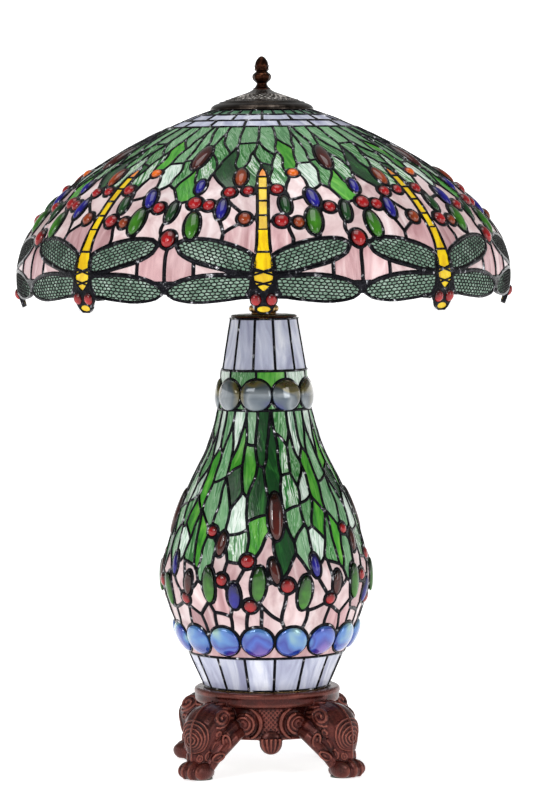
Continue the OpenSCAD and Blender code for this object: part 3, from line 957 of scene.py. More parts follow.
def shade_panel():
    panel = Panel(SHADE, SECTOR, 3.2, came=1.55)
    for i in range(4):
        panel.add("crown", split_long([(-22.5 + i * 11.25, 0), (-11.25 + i * 11.25, 0), (-11.25 + i * 11.25, 14.5),
                                       (-22.5 + i * 11.25, 14.5)], 3.75))
    for top, foot, start in ((14.5, 31, -22.5), (31, 48, -11.25)):
        for i in range(2):
            a = start + i * 22.5
            panel.add("brick", split_long([(a, top), (a + 22.5, top), (a + 22.5, foot), (a, foot)], 3.75))
    seeds = [(a * 2.5, s) for _, a, s in SHADE_SEEDS]
    wrap = SECTOR * 2.5
    others = [(x + d, y) for x, y in seeds for d in (-wrap, wrap)]
    domain = [(-100, 48), (100, 48), (100, FIELD_FOOT), (-100, FIELD_FOOT)]
    for (kind, _, _), cell in zip(SHADE_SEEDS, voronoi(seeds, others, domain, *squeezer(158, 0.24, 0.45))):
        loop = split_long([(x / 2.5, s) for x, s in cell], 5)
        leaf = kind.startswith("leaf")
        panel.add(kind, [sway(a, s) for a, s in loop], came=1.5 if leaf else 2.1, turn=-18 if leaf else 0)
    for kind, a, s, wide, high, tilt in SHADE_JEWELS:
        panel.add("", ellipse(SHADE, a, s, wide + 2.8, high + 2.8, tilt), 3, came=1.6)
    for side in (-1, 1):
        for wing in (UPPER_WING, LOWER_WING):
            panel.add("wing", wing_outline(wing, side, 7), 2, came=WING_BORDER)
    for top, foot in zip(BODY_SEAMS, BODY_SEAMS[1:]):
        steps = [top + (foot - top) * k / 3 for k in range(4)]
        right = [(across(s, body_half(s)), s) for s in steps]
        panel.add("yellow", right + [(-a, s) for a, s in reversed(right)], 4, came=1.2)
    panel.add("amber", [(0, 133), (across(141, 3.4), 141), (across(150, 4.9), 150), (-across(150, 4.9), 150),
                        (-across(141, 3.4), 141)], 4, came=1.2)
    thorax = [(across(s, w), s) for s, w in ((266.5, 8.6), (270, 9.8), (277, 9.6), (283, 4.5), (286, 1))]
    panel.add("yellow", thorax + [(-a, s) for a, s in reversed(thorax)], 4, came=0.7)
    head = [(across(s, w), s) for s, w in ((275, 11), (284, 12), (289, 15.5), (294, 13.5), (300, 11), (305, 8.5),
                                           (308.5, 5))]
    panel.add("", head + [(-a, s) for a, s in reversed(head)], 3, fill=True)
    panel.add("yellow", ellipse(SHADE, 0, 304, 15, 8, 0, 12), 5, came=0.9)
    for side in (-1, 1):
        panel.add("", ellipse(SHADE, side * 1.75, 294, 12.2, 13.5), 6, came=1.2)
        # Lines that cross on the thorax
        for top, foot in ((264, 270), (276, 281)):
            line = [(across(s, w), s) for s, w in ((top - 0.4, -9.5), (foot - 0.4, 9.5), (foot + 0.4, 9.5),
                                                   (top + 0.4, -9.5))]
            panel.add("", [(a * side, s) for a, s in line], 5, fill=True)
    tips = SECTOR / 2
    panel.add("", [(tips - 3, 278), (tips + 3, 278), (tips + 1.2, 289), (tips - 1.2, 289)], 1, fill=True)
    panel.lay_out()
    return panel


def vein_panel(wing, side, seed):
    """The pierced metal on one wing: small cells in rows that run out along it."""
    rng = random.Random(seed)
    scale = 4.3
    panel = Panel(SHADE, 360, scale, came=0.6, crest=0.6, back=0.0, depth=0.35, lift=0.1, beaded=False)
    mask = wing_outline(wing, side, 5)
    panel.mask = mask if area(mask) > 0 else mask[::-1]
    root = Vector((side * 2 * scale, (wing[0][1] + wing[-1][1]) / 2))
    tip = Vector((side * 20.8 * scale, 241 if wing is UPPER_WING else 288))
    along = (tip - root).normalized()
    over = Vector((-along.y, along.x))
    seeds = []
    for row in range(-9, 10):
        for k in range(-3, 22):
            x = (k + 0.5 * (row % 2)) * 5.4 + rng.uniform(-1.2, 1.2)
            y = row * 3.1 + rng.uniform(-0.3, 0.3)
            p = root + along * x + over * y
            if winding(p.x / scale, p.y, [panel.mask]) >= 1:
                seeds.append((x, y))
    box = [(-60, -60), (140, -60), (140, 60), (-60, 60)]
    for cell in voronoi(seeds, [], box, *squeezer(-200, 1.7, 1.7)):
        if len(cell) >= 3:
            corners = [root + along * x + over * y for x, y in cell]
            panel.add("", [(p.x / scale, p.y) for p in corners])
    panel.lay_out()
    return panel


# ---------------------------------------------------------------- the vase

VASE_PERIOD = 90
NUGGET = 32.5

VASE_SEEDS = [
    ("leaf_white", -30.4, 112), ("leaf_pale", -47, 106), ("leaf_dark", -4, 116), ("leaf_mid", 19.5, 110),
    ("leaf_white", 33.7, 115), ("leaf_pale", -14, 108), ("leaf_pale", -40, 146), ("leaf_dark", -24, 172),
    ("leaf_bright", -14.7, 150), ("leaf_dark", 6.9, 155), ("leaf_streak", 18, 142), ("leaf_mid", 27, 150),
    ("leaf_streak", 18.6, 184), ("leaf_white", 30, 180), ("leaf_pale", -39, 192), ("leaf_pale", -30, 206),
    ("leaf_dark", -5.5, 192), ("leaf_bright", 39, 168), ("leaf_bright", -4.6, 226), ("leaf_mid", 19.3, 214),
    ("leaf_bright", 34, 214), ("leaf_white", -18.6, 212), ("leaf_bright", -42.5, 238), ("leaf_pale", -36, 252),
    ("leaf_streak", -18, 237), ("leaf_dark", 12, 242), ("leaf_pale", 22, 240), ("leaf_white", 32, 234),
    ("leaf_mid", 42, 246), ("leaf_bright", -25.5, 140), ("leaf_mid", 30.5, 198),
    ("pink", -48.7, 268), ("pink", -28.5, 262), ("rose", -18, 266), ("pink", 0, 252), ("pink", -11.4, 280),
    ("rose", 17.5, 264), ("pink", 28.8, 286), ("pink", 36, 270), ("pink", 4.7, 297), ("rose", -26, 298),
    ("pink", 16.5, 306), ("pink", -42, 298), ("rose", -37.5, 318), ("pink", -16.8, 317), ("pink", 1.4, 320),
    ("pink", 31, 318), ("rose", 46.5, 320), ("pink", -27, 324), ("pink", -6, 322),
]

VASE_JEWELS = [
    ("brown", 6.6, 207, 15, 50, 0), ("brown", 4.8, 264, 10, 26, -12), ("red", 11.6, 279, 14, 14, 0),
    ("green", 21.6, 287, 14, 35, 4), ("blue", 28.5, 259, 9.5, 24, -6), ("red", 38.5, 294.5, 12, 12, 0),
    ("brown", 42.3, 278, 10.5, 24, 6), ("green", -4.1, 277, 14, 35, 5), ("green", -33, 278.5, 13.5, 36, -3),
    ("red", -34.5, 223.5, 11, 11, 0), ("brown", -27, 236, 10.5, 25, 8), ("red", -10.5, 253.5, 13.6, 13.6, 0),
    ("red", -24.8, 273, 12, 12, 0), ("blue", -18, 289.5, 12.5, 27, 0), ("red", -9, 300, 13.5, 13.5, 0),
]


def lean(a, s):
    """Bends the straight cell edges of the vase a little."""
    grown = min(max((s - 95) / 30, 0), 1) * min(max((343 - s) / 12, 0), 1)
    return a + grown * (0.7 * math.sin(2 * math.pi * (s / 66 + a / 45)) + 0.4 * math.sin(
        2 * math.pi * (s / 34 - a / 22.5))), s + grown * 1.5 * math.sin(2 * math.pi * a / 22.5)


def neck_panel():
    """The neck of the vase and its row of nuggets."""
    panel = Panel(VASE, 120, 0.8, came=1.4)
    for k in range(4):
        a = -15 + 30 * k
        panel.add("brick", split_long([(a, 0), (a + 30, 0), (a + 30, 53.8), (a, 53.8)], 7))
    for k, above in enumerate(("leaf_bright", "leaf_white", "leaf_mid")):
        a = -11 + 40 * k
        for kind, top, foot in ((above, 53.8, 79), ("leaf_mid", 79, 94)):
            panel.add(kind, split_long([(a, top), (a + 40, top), (a + 40, foot), (a, foot)], 5))
        panel.add("", ellipse(VASE, a, 79, NUGGET + 1.4, NUGGET + 1.4, 0, 40), 3, came=1.3)
    panel.lay_out()
    return panel


def belly_panel():
    """The leaves, the field, the lower nuggets and the foot of the vase."""
    panel = Panel(VASE, VASE_PERIOD, 1.6, came=1.5)
    foot = VASE.s[-1] - 0.8
    seeds = [(a * 1.5, s) for _, a, s in VASE_SEEDS]
    wrap = VASE_PERIOD * 1.5
    others = [(x + d, y) for x, y in seeds for d in (-wrap, wrap)]
    domain = [(-120, 94), (120, 94), (120, 343), (-120, 343)]
    for (kind, _, _), cell in zip(VASE_SEEDS, voronoi(seeds, others, domain, *squeezer(250, 0.3, 0.5))):
        panel.add(kind, [lean(a, s) for a, s in split_long([(x / 1.5, s) for x, s in cell], 6)],
                  came=1.7 if kind.startswith("leaf") else 2.1)
    for kind, a, s, wide, high, tilt in VASE_JEWELS:
        panel.add("", ellipse(VASE, a, s, wide + 2.6, high + 2.6, tilt), 3, came=1.6)
    for k in range(4):
        a = -6 + 22.5 * k
        panel.add("rose", split_long([(a, 343), (a + 22.5, 343), (a + 22.5, 361), (a, 361)], 6))
        panel.add("", ellipse(VASE, a, 341, NUGGET + 1.4, NUGGET + 1.4, 0, 40), 3, came=1.3)
        panel.add("brick", split_long([(a - 10.5, 361), (a + 12, 361), (a + 12, foot), (a - 10.5, foot)], 7))
    panel.lay_out()
    return panel


# ---------------------------------------------------------------- assembly of the glass

GLASS = glass_materials()
SOLDER = solder_material()
JEWELS = {
    "red": jewel_material("ruby_jewel", linear(50, 0, 2), linear(172, 0, 8)),
    "green": jewel_material("green_jewel", linear(6, 38, 4), linear(54, 122, 12)),
    "dark_green": jewel_material("dark_green_jewel", linear(2, 20, 8), linear(12, 66, 20)),
    "blue": jewel_material("blue_jewel", linear(2, 0, 44), linear(20, 12, 140)),
    "brown": jewel_material("brown_jewel", linear(16, 2, 0), linear(76, 14, 2)),
    "amber": jewel_material("amber_jewel", linear(48, 10, 0), linear(150, 56, 4)),
    "orange": jewel_material("orange_jewel", linear(120, 34, 0), linear(232, 108, 8)),
}
SLOTS = {"brick": "lavender_glass", "crown": "crown_glass", "pink": "pink_glass", "rose": "pink_glass",
         "yellow": "yellow_glass", "amber": "amber_glass", "wing": "wing_glass"}
JEWEL_SLOTS = {"red": "ruby_jewel", "green": "green_jewel", "dark_green": "green_jewel", "blue": "blue_jewel"}
SHADE_NODES = {"brick": "shade_bricks", "crown": "shade_crown_glass", "pink": "shade_field_glass",
               "rose": "shade_field_glass", "yellow": "dragonfly_bodies", "amber": "dragonfly_tail_tips",
               "wing": "dragonfly_wings"}


def place(obj, material, body, slot, *nodes):
    """Finishes a piece: its material, its body and the CAD nodes it stands for, which it hides. Its slot is not used.
    """
    paint(obj, material)
    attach(obj, body)
    if nodes:
        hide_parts(*nodes)
    return obj


def build_shade():
    panel = shade_panel()
    place(panel.solder("shade_solder", DRAGONFLIES), SOLDER, "shade", "came", "shade_came_rings", "shade_came_bars")
    builders = {kind: Builder() for kind in GLASS}
    panel.glaze(builders, DRAGONFLIES, 5)
    for kind, builder in builders.items():
        if builder.verts:
            place(builder.make("shade_" + kind), GLASS[kind], "shade", SLOTS.get(kind, "leaf_glass"),
                  SHADE_NODES.get(kind, "shade_leaf_glass"))
    jewels = {kind: Builder() for kind in JEWELS}
    eyes = Builder()
    for i in range(DRAGONFLIES):
        for kind, a, s, wide, high, tilt in SHADE_JEWELS:
            dome(jewels[kind], SHADE, a + i * SECTOR, s, wide, high, 1.2 + min(wide, high) * 0.24, 3.2, tilt)
        for side in (-1, 1):
            dome(eyes, SHADE, i * SECTOR + side * 1.75, 294, 10.8, 12, 4.6, 3.2)
    for kind, builder in jewels.items():
        node = "shade_jewels_" + {"dark_green": "green", "amber": "brown", "orange": "brown"}.get(kind, kind)
        place(builder.make("jewels_" + kind), JEWELS[kind], "shade", JEWEL_SLOTS.get(kind, "brown_jewel"), node)
    place(eyes.make("eyes"), JEWELS["red"], "shade", "ruby_jewel", "dragonfly_eyes")
    veins = [vein_panel(wing, side, 40 + k)
             for k, (wing, side) in enumerate((w, f) for w in (UPPER_WING, LOWER_WING) for f in (-1, 1))]
    whole = Panel(SHADE, SECTOR, 4.3, crest=0.6, back=0.0, depth=0.35, lift=0.1)
    for panel in veins:
        base = len(whole.points)
        whole.points += panel.points
        whole.sheet += [tuple(k + base for k in f) for f in panel.sheet]
    place(whole.solder("wing_veins", DRAGONFLIES), FILIGREE, "shade", "filigree", "wing_filigree")


def build_vase():
    builders = {kind: Builder() for kind in GLASS}
    neck = neck_panel()
    belly = belly_panel()
    neck.glaze(builders, 3, 11)
    belly.glaze(builders, 4, 12)
    place(neck.solder("neck_solder", 3), SOLDER, "stand", "came", "vase_came_rings", "vase_came_bars")
    place(belly.solder("belly_solder", 4), SOLDER, "stand", "came", "vase_came_rings", "vase_came_bars")
    nodes = {"brick": ("vase_neck_panels", "vase_foot_panels"), "pink": ("vase_field_glass",),
             "rose": ("vase_field_glass",)}
    for kind, builder in builders.items():
        if builder.verts:
            place(builder.make("vase_" + kind), GLASS[kind], "stand", SLOTS.get(kind, "leaf_glass"),
                  *nodes.get(kind, ("vase_leaf_glass",)))
    jewels = {kind: Builder() for kind in ("red", "green", "blue", "brown")}
    for i in range(4):
        for kind, a, s, wide, high, tilt in VASE_JEWELS:
            dome(jewels[kind], VASE, a + i * VASE_PERIOD, s, wide, high, 1 + min(wide, high) * 0.17, 3.2, tilt)
    for kind, builder in jewels.items():
        place(builder.make("vase_jewels_of_" + kind), JEWELS[kind], "stand", JEWEL_SLOTS.get(kind, "brown_jewel"),
              "vase_jewels_" + kind)
    upper, lower = Builder(), Builder()
    for k in range(9):
        dome(upper, VASE, -11 + 40 * k, 79, NUGGET, NUGGET, 5.4, 5, 0, 40, 9)
    for k in range(16):
        dome(lower, VASE, -6 + 22.5 * k, 341, NUGGET, NUGGET, 6, 5, 0, 40, 9)
    place(upper.make("upper_nuggets"), SMOKY, "stand", "smoky_nugget", "vase_upper_nuggets")
    place(lower.make("lower_nuggets"), BLUE, "stand", "blue_nugget", "vase_lower_nuggets")


def filigree_material():
    n = Nodes("filigree", Metallic=0.7, IOR=1.5)
    n.colour(n.ramp(n.noise(n.place(6), 1.0, 3.0), [(0.4, (0.006, 0.007, 0.007)), (0.7, (0.03, 0.032, 0.03))]))
    n.rough(n.spread(n.noise(n.place(3)), 0.3, 0.55))
    return n.material


FILIGREE = filigree_material()
SMOKY = nugget_material("smoky_nugget", [(0.15, linear(36, 30, 8)), (0.32, linear(96, 88, 44)),
                                         (0.45, linear(66, 78, 86)), (0.58, linear(122, 130, 136)),
                                         (0.72, linear(62, 78, 92)), (0.86, linear(30, 44, 96))])
BLUE = nugget_material("blue_nugget", [(0.15, linear(140, 178, 172)), (0.32, linear(70, 122, 186)),
                                       (0.48, linear(20, 48, 148)), (0.62, linear(50, 90, 184)),
                                       (0.76, linear(54, 46, 150)), (0.9, linear(112, 80, 172))])
build_shade()
build_vase()


# ---------------------------------------------------------------- turned and cast metal


def lathe(builder, profile, sides=72, ripple=None, ring=False):
    """Turns a profile of (radius, height) mm about the axis. A ring's profile closes on itself."""
    verts, faces = [], []
    for r, z in profile:
        for i in range(sides):
            t = 2 * math.pi * i / sides
            grown = r * (1 + ripple(t, z)) if ripple else r
            verts.append(Vector((grown * math.sin(t) * MM, -grown * math.cos(t) * MM, z * MM)))
    rows = len(profile)
    for k in range(rows if ring else rows - 1):
        for i in range(sides):
            j = (i + 1) % sides
            m = (k + 1) % rows
            faces.append((k * sides + i, k * sides + j, m * sides + j, m * sides + i))
    if not ring:
        faces.append(tuple(range(sides))[::-1])
        faces.append(tuple((rows - 1) * sides + i for i in range(sides)))
    builder.add(verts, faces)


def turned(name, profile, sides=72, ripple=None, ring=False, degrees=35, move=None):
    builder = Builder()
    lathe(builder, profile, sides, ripple, ring)
    if move:
        builder.verts = [move @ v for v in builder.verts]
    obj = builder.make(name, degrees)
    bm = bmesh.new()
    bm.from_mesh(obj.data)
    bmesh.ops.remove_doubles(bm, verts=bm.verts, dist=1e-6)
    bmesh.ops.recalc_face_normals(bm, faces=bm.faces)
    bm.to_mesh(obj.data)
    bm.free()
    return obj


def rope(builder, points, radii, sides=9):
    """A tube through points in metres, with a radius in mm at each, and closed ends."""
    verts, faces = [], []
    up = Vector((0.3, 0.2, 0.93))
    n = len(points)
    for i, p in enumerate(points):
        along = (points[min(i + 1, n - 1)] - points[max(i - 1, 0)]).normalized()
        up = (up - along * up.dot(along)).normalized()
        side = along.cross(up)
        for k in range(sides):
            t = 2 * math.pi * k / sides
            verts.append(p + (up * math.cos(t) + side * math.sin(t)) * radii[i] * MM)
    for i in range(n - 1):
        for k in range(sides):
            j = (k + 1) % sides
            faces.append((i * sides + k, i * sides + j, (i + 1) * sides + j, (i + 1) * sides + k))
    faces.append(tuple(range(sides))[::-1])
    faces.append(tuple((n - 1) * sides + k for k in range(sides)))
    builder.add(verts, faces)


def blob(builder, mid, axes, sides=18, rings=10):
    """An ellipsoid about a point in metres, with three axes in metres."""
    verts = [mid + axes[2]]
    for k in range(1, rings):
        u = math.pi * k / rings
        for i in range(sides):
            v = 2 * math.pi * i / sides
            verts.append(mid + axes[0] * (math.sin(u) * math.cos(v)) + axes[1] * (math.sin(u) * math.sin(v))
                         + axes[2] * math.cos(u))
    verts.append(mid - axes[2])
    last = len(verts) - 1
    faces = []
    for i in range(sides):
        j = (i + 1) % sides
        faces.append((0, 1 + i, 1 + j))
        for k in range(rings - 2):
            p, q = 1 + k * sides, 1 + (k + 1) * sides
            faces.append((p + i, q + i, q + j, p + j))
        p = 1 + (rings - 2) * sides
        faces.append((p + i, last, p + j))
    builder.add(verts, faces)


def fused(name, builder, voxel, smooth):
    """One skin round all the builder's overlapping solids."""
    rough = new_object(name + "_rough", builder.verts, builder.faces)
    remesh = rough.modifiers.new("fuse", "REMESH")
    remesh.mode = "VOXEL"
    remesh.voxel_size = voxel * MM
    soften = rough.modifiers.new("soften", "SMOOTH")
    soften.iterations = smooth
    soften.factor = 0.5
    graph = bpy.context.evaluated_depsgraph_get()
    mesh = bpy.data.meshes.new_from_object(rough.evaluated_get(graph))
    bpy.data.objects.remove(rough)
    mesh.name = name
    obj = bpy.data.objects.new(name, mesh)
    bpy.context.scene.collection.objects.link(obj)
    mesh.polygons.foreach_set("use_smooth", [True] * len(mesh.polygons))
    return obj


# ---------------------------------------------------------------- the cast base

BASE_TURN = 3
SKIRT_R = 66
PAD = 1.5

# The leg's middle line: distance out, height, half its depth and half its width
LEG = [(64, 58, 13, 16), (79, 61, 13, 23), (91, 57, 15, 27), (98, 48, 15.5, 24), (101, 38, 13.5, 18.5),
       (102.5, 28, 11.5, 14.5), (105, 19, 10, 12.5), (108, 12, 9, 12)]


class Leg:
    """One leg's own space: distance out from the axis, sideways, and height, in mm."""

    def __init__(self, builder, angle):
        self.builder = builder
        t = math.radians(angle)
        self.out = Vector((math.sin(t), -math.cos(t), 0))
        self.side = Vector((math.cos(t), math.sin(t), 0))

    def at(self, u, v, z):
        return (self.out * u + self.side * v + Vector((0, 0, z))) * MM

    def skin(self, t, turn, out=0.0):
        """A point on the leg's skin: t along its middle line, turn degrees round from its outer ridge."""
        i = min(int(t), len(LEG) - 2)
        f = t - i
        prev, a, b, after = (Vector(LEG[min(max(i + k, 0), len(LEG) - 1)]) for k in (-1, 0, 1, 2))
        p = 0.5 * ((2 * a) + (b - prev) * f + (2 * prev - 5 * a + 4 * b - after) * f * f
                   + (3 * a - prev - 3 * b + after) * f ** 3)
        d = 0.5 * ((b - prev) + 2 * (2 * prev - 5 * a + 4 * b - after) * f
                   + 3 * (3 * a - prev - 3 * b + after) * f * f)
        slope = Vector((-d[1], d[0])).normalized()
        w = math.radians(turn)
        swell = 1 + 0.12 * math.cos(2 * w)
        deep = (p[2] * swell + out) * math.cos(w)
        wide = (p[3] * swell + out) * math.sin(w)
        return self.at(p[0] + slope[0] * deep, wide, p[1] + slope[1] * deep)

    def line(self, places, radius, out=-0.2, taper=0.5):
        """A raised line through (t, turn) places on the skin."""
        n = len(places)
        points = [self.skin(t, turn, out) for t, turn in places]
        radii = [radius * (taper + (1 - taper) * math.sin(math.pi * (i + 0.5) / n)) for i in range(n)]
        rope(self.builder, points, radii, 8)

    def body(self):
        sides = 28
        rows = 40
        verts = [self.skin((len(LEG) - 1) * k / rows, 360 * i / sides) for k in range(rows + 1) for i in range(sides)]
        faces = [(k * sides + i, k * sides + (i + 1) % sides, (k + 1) * sides + (i + 1) % sides, (k + 1) * sides + i)
                 for k in range(rows) for i in range(sides)]
        faces.append(tuple(range(sides))[::-1])
        faces.append(tuple(rows * sides + i for i in range(sides)))
        self.builder.add(verts, faces)

    def paw(self):
        """Four toes that merge into one rounded paw, with three grooves between them."""
        up = Vector((0, 0, MM))
        for v, long, wide, high in ((-11.6, 13.4, 5.2, 8.8), (-4.2, 17.4, 5.4, 11.4), (4.2, 17.4, 5.4, 11.4),
                                    (11.6, 13.4, 5.2, 8.8)):
            blob(self.builder, self.at(109.5, v, 9), [self.out * long * MM, self.side * wide * MM, up * high], 24, 14)
        blob(self.builder, self.at(109, 0, 8.8), [self.out * 16.4 * MM, self.side * 16.2 * MM, up * 10.6], 24, 14)
        blob(self.builder, self.at(101, 0, 7), [self.out * 14 * MM, self.side * 13 * MM, up * 9], 24, 14)

    def swirl(self, t, turn, radius, turns, thick, mirror):
        """A spiral raised on the skin, radius mm across its outer turn."""
        places = []
        steps = int(14 * turns)
        for k in range(steps + 1):
            f = k / steps
            r = radius * (1 - 0.86 * f)
            w = 2 * math.pi * turns * f
            places.append((t + r * math.cos(w) / 13, turn + mirror * math.degrees(r * math.sin(w) / 19)))
        self.line(places, thick, 0.1, 0.6)

    def relief(self):
        for m in (-1, 1):
            self.swirl(1.8, m * 66, 11.5, 2.0, 2.1, m)
            self.swirl(3.1, m * 92, 5.5, 1.4, 1.7, m)
            for k in range(5):
                # Concentric arcs of the knee's leaf
                r = 4 + 3.2 * k
                self.line([(4.0 + r * math.cos(w) / 12.5, m * math.degrees(r * math.sin(w) / 17))
                           for w in [math.pi * (0.02 + 0.96 * j / 12) for j in range(13)]], 1.25, 0.5)
            for k in range(4):
                # Grooved fan over the shoulder
                w0 = 18 + 22 * k
                self.line([(0.5 + 0.8 * j / 8, m * (w0 + 4 * math.sin(j / 2))) for j in range(9)], 1.7, 0.4)
            for t, turn, long, wide in ((4.4, 112, 7, 13), (5.4, 84, 6.5, 16), (5.9, 40, 5.5, 12)):
                # Small leaves round the shin
                self.line([(t + long / 13 * math.cos(w), m * (turn + wide * math.sin(w)))
                           for w in [2 * math.pi * j / 14 for j in range(15)]], 1.2, 0.3, 0.9)
                self.line([(t - 0.3, m * turn), (t, m * turn), (t + 0.3, m * turn)], 1.6, 0.2)
        self.line([(0.8 + 0.35 * j, 0) for j in range(17)], 1.6, 0.3)

    def brackets(self):
        """Webs that run from the leg's inner sides up to the skirt, each with two leaf buds."""
        for m in (-1, 1):
            web = [(57, 17, 47, 4), (63, 20.5, 46.5, 5), (69, 22.5, 45, 6.2), (77, 22.5, 41.5, 7.2),
                   (84, 20.5, 36, 7.6), (90, 17, 29, 7.4), (96, 13.5, 21, 6.6), (101, 11, 13, 6)]
            hollow = [(62, 14, 52, 8), (72, 16, 50, 9), (82, 15, 44, 10), (90, 11, 36, 9), (96, 8, 27, 8)]
            for path in (web, hollow):
                rope(self.builder, [self.at(u, m * v, z) for u, v, z, _ in path], [r for _, _, _, r in path], 16)
            outward = (self.out + self.side * m).normalized() * MM
            along = (self.out - self.side * m).normalized() * MM
            up = Vector((0, 0, MM))
            for u, v, z, wide, high, tilt in ((87, 22, 39, 3.6, 6.6, 0.25), (95, 18, 23, 6.4, 3.4, 0.5)):
                mid = self.at(u, m * v, z) + outward * 3.2
                x_axis = along * math.cos(tilt) - up * math.sin(tilt)
                y_axis = along * math.sin(tilt) + up * math.cos(tilt)
                loop = [mid + x_axis * (wide * math.cos(w)) + y_axis * (high * math.sin(w))
                        for w in [2 * math.pi * k / 20 for k in range(21)]]
                rope(self.builder, loop, [1.4] * len(loop), 8)
                blob(self.builder, mid - outward * 0.8, [x_axis * wide * 0.55, y_axis * high * 0.55, outward * 1.8])


class Side:
    """The skirt's own space on one side: mm round it, height, and mm out from it."""

    def __init__(self, builder, angle):
        self.builder = builder
        self.angle = angle

    def at(self, x, z, out=0.0):
        t = math.radians(self.angle) + x / SKIRT_R
        r = SKIRT_R + out
        return Vector((r * math.sin(t) * MM, -r * math.cos(t) * MM, z * MM))

    def line(self, places, radii, out=0.0):
        rope(self.builder, [self.at(x, z, out) for x, z in places], radii, 8)

    def lattice(self):
        def edge(z):
            return 9.5 + 0.04 * (z - 56) ** 2

        step = 4.4
        for m in (-1, 1):
            for k in range(-9, 10):
                places = []
                for j in range(29):
                    z = 42 + j
                    x = k * step + m * (z - 56) * 0.9
                    if abs(x) < edge(z):
                        places.append((x, z))
                if len(places) > 2:
                    self.line(places, [0.75] * len(places), 0.2)

    def volute(self):
        for m in (-1, 1):
            band = [(m * (-27 + 17 * math.cos(w)), 54.5 + 16.5 * math.sin(w))
                    for w in [math.radians(a) for a in range(-66, 84, 6)]]
            n = len(band)
            self.line(band, [0.8 + 1.9 * math.sin(math.pi * (k + 0.5) / n) for k in range(n)], 1.8)
            spiral = []
            for k in range(44):
                w = math.radians(80 - 20 * k)
                r = 11.2 * (1 - 0.9 * k / 44)
                spiral.append((m * (-27 + r * math.cos(w)), 53.5 + r * math.sin(w)))
            self.line(spiral, [1.9 - 0.7 * k / 44 for k in range(44)], 4)
            mid = self.at(m * -27, 53.5, 1.4)
            t = math.radians(self.angle) + m * -27 / SKIRT_R
            out = Vector((math.sin(t), -math.cos(t), 0))
            side = Vector((math.cos(t), math.sin(t), 0))
            blob(self.builder, mid, [out * 3.6 * MM, side * 12 * MM, Vector((0, 0, 12 * MM))])

    def tab(self):
        t = math.radians(self.angle)
        out = Vector((math.sin(t), -math.cos(t), 0))
        side = Vector((math.cos(t), math.sin(t), 0))
        blob(self.builder, self.at(0, 35, -1), [out * 5.5 * MM, side * 12 * MM, Vector((0, 0, 12.6 * MM))])
        for k in range(-2, 3):
            ridge = [(k * 4.4 * math.cos(w) * 0.98, 38 - 14 * math.sin(w)) for w in
                     [math.radians(a) for a in range(-5, 86, 10)]]
            rope(self.builder, [self.at(x, z, 4.5 - 3.2 * (((38 - z) / 14) ** 2) - 0.1 * k * k) for x, z in ridge],
                 [1.8 - 0.07 * j for j in range(len(ridge))], 8)


def build_base():
    builder = Builder()
    lathe(builder, [(58.2, 38.5), (60, 37.5), (66.6, 37.5), (67.4, 38.7), (67, 40.6), (65.6, 42), (65.6, 67.4),
                    (66.6, 69.8), (70, 71), (73.4, 71.6), (74.6, 73.6), (74.6, 79.4), (75.5, 81.2), (75.5, 83.4),
                    (74.8, 84.9), (73, 86), (58.2, 86)], 180, None, True)
    for k in range(4):
        leg = Leg(builder, 45 + 90 * k + BASE_TURN)
        leg.body()
        leg.paw()
        leg.relief()
        leg.brackets()
        side = Side(builder, 90 * k + BASE_TURN)
        side.lattice()
        side.volute()
        side.tab()
    base = fused("base", builder, 0.7, 2)
    for v in base.data.vertices:
        v.co.z = max(v.co.z, PAD * MM)
        r = math.hypot(v.co.x, v.co.y)
        if 0.04 < r < 58.2 * MM:
            v.co.x *= 58.2 * MM / r
            v.co.y *= 58.2 * MM / r
        v.co.z = min(v.co.z, 86 * MM)
    place(base, BRONZE, "stand", "antique_bronze", "base_casting")


# ---------------------------------------------------------------- cap, finial and the hardware

CAP_RIM = [(44, 681.4), (52, 680.9), (53.3, 681.4), (53.3, 682.2), (52.2, 683.8), (50.4, 685.4), (47.6, 686.9),
           (44.6, 687.8), (43.8, 688.8), (42.4, 689.4), (41, 689.0), (40.6, 688.2), (38.2, 689.6), (37.6, 688.6),
           (40, 687), (44, 686.2)]
CAP_CONE = CurveOutline([(9, 701.4), (12, 699.4), (20, 696.4), (30, 693), (39.4, 689.4)])


CAP_DIAMONDS = 32


def cap_panel():
    """The cap's cone, pierced by diamonds that grow with its radius."""
    step = 360 / CAP_DIAMONDS
    panel = Panel(CAP_CONE, step, 0.5, came=0.62, crest=0.5, back=0.2, depth=1.1, lift=0.0, beaded=False)
    foot = CAP_CONE.s[-1]
    panel.add("", split_long([(0, 0), (step, 0), (step, foot), (0, foot)], 2.5), 0, fill=True)
    for k in range(5):
        mid = 12.5 + 3.6 * k
        a = step * (0.5 if k % 2 else 1)
        panel.add("", [(a - step / 2, mid), (a, mid - 3.6), (a + step / 2, mid), (a, mid + 3.6)], 1)
    panel.lay_out()
    return panel


def knurl(t, z):
    """The finial's surface: a lobed ball under a scaled cone."""
    if z > 719.6:
        up = (z - 719.6) / 16.4
        scales = abs(math.sin(4 * t + up * 12)) * abs(math.sin(4 * t - up * 12))
        return 0.16 * (1 - up) * (scales - 0.4)
    if z > 708:
        return 0.09 * abs(math.cos(4 * t)) * math.sin(math.pi * (z - 708) / 11.6)
    return 0.0


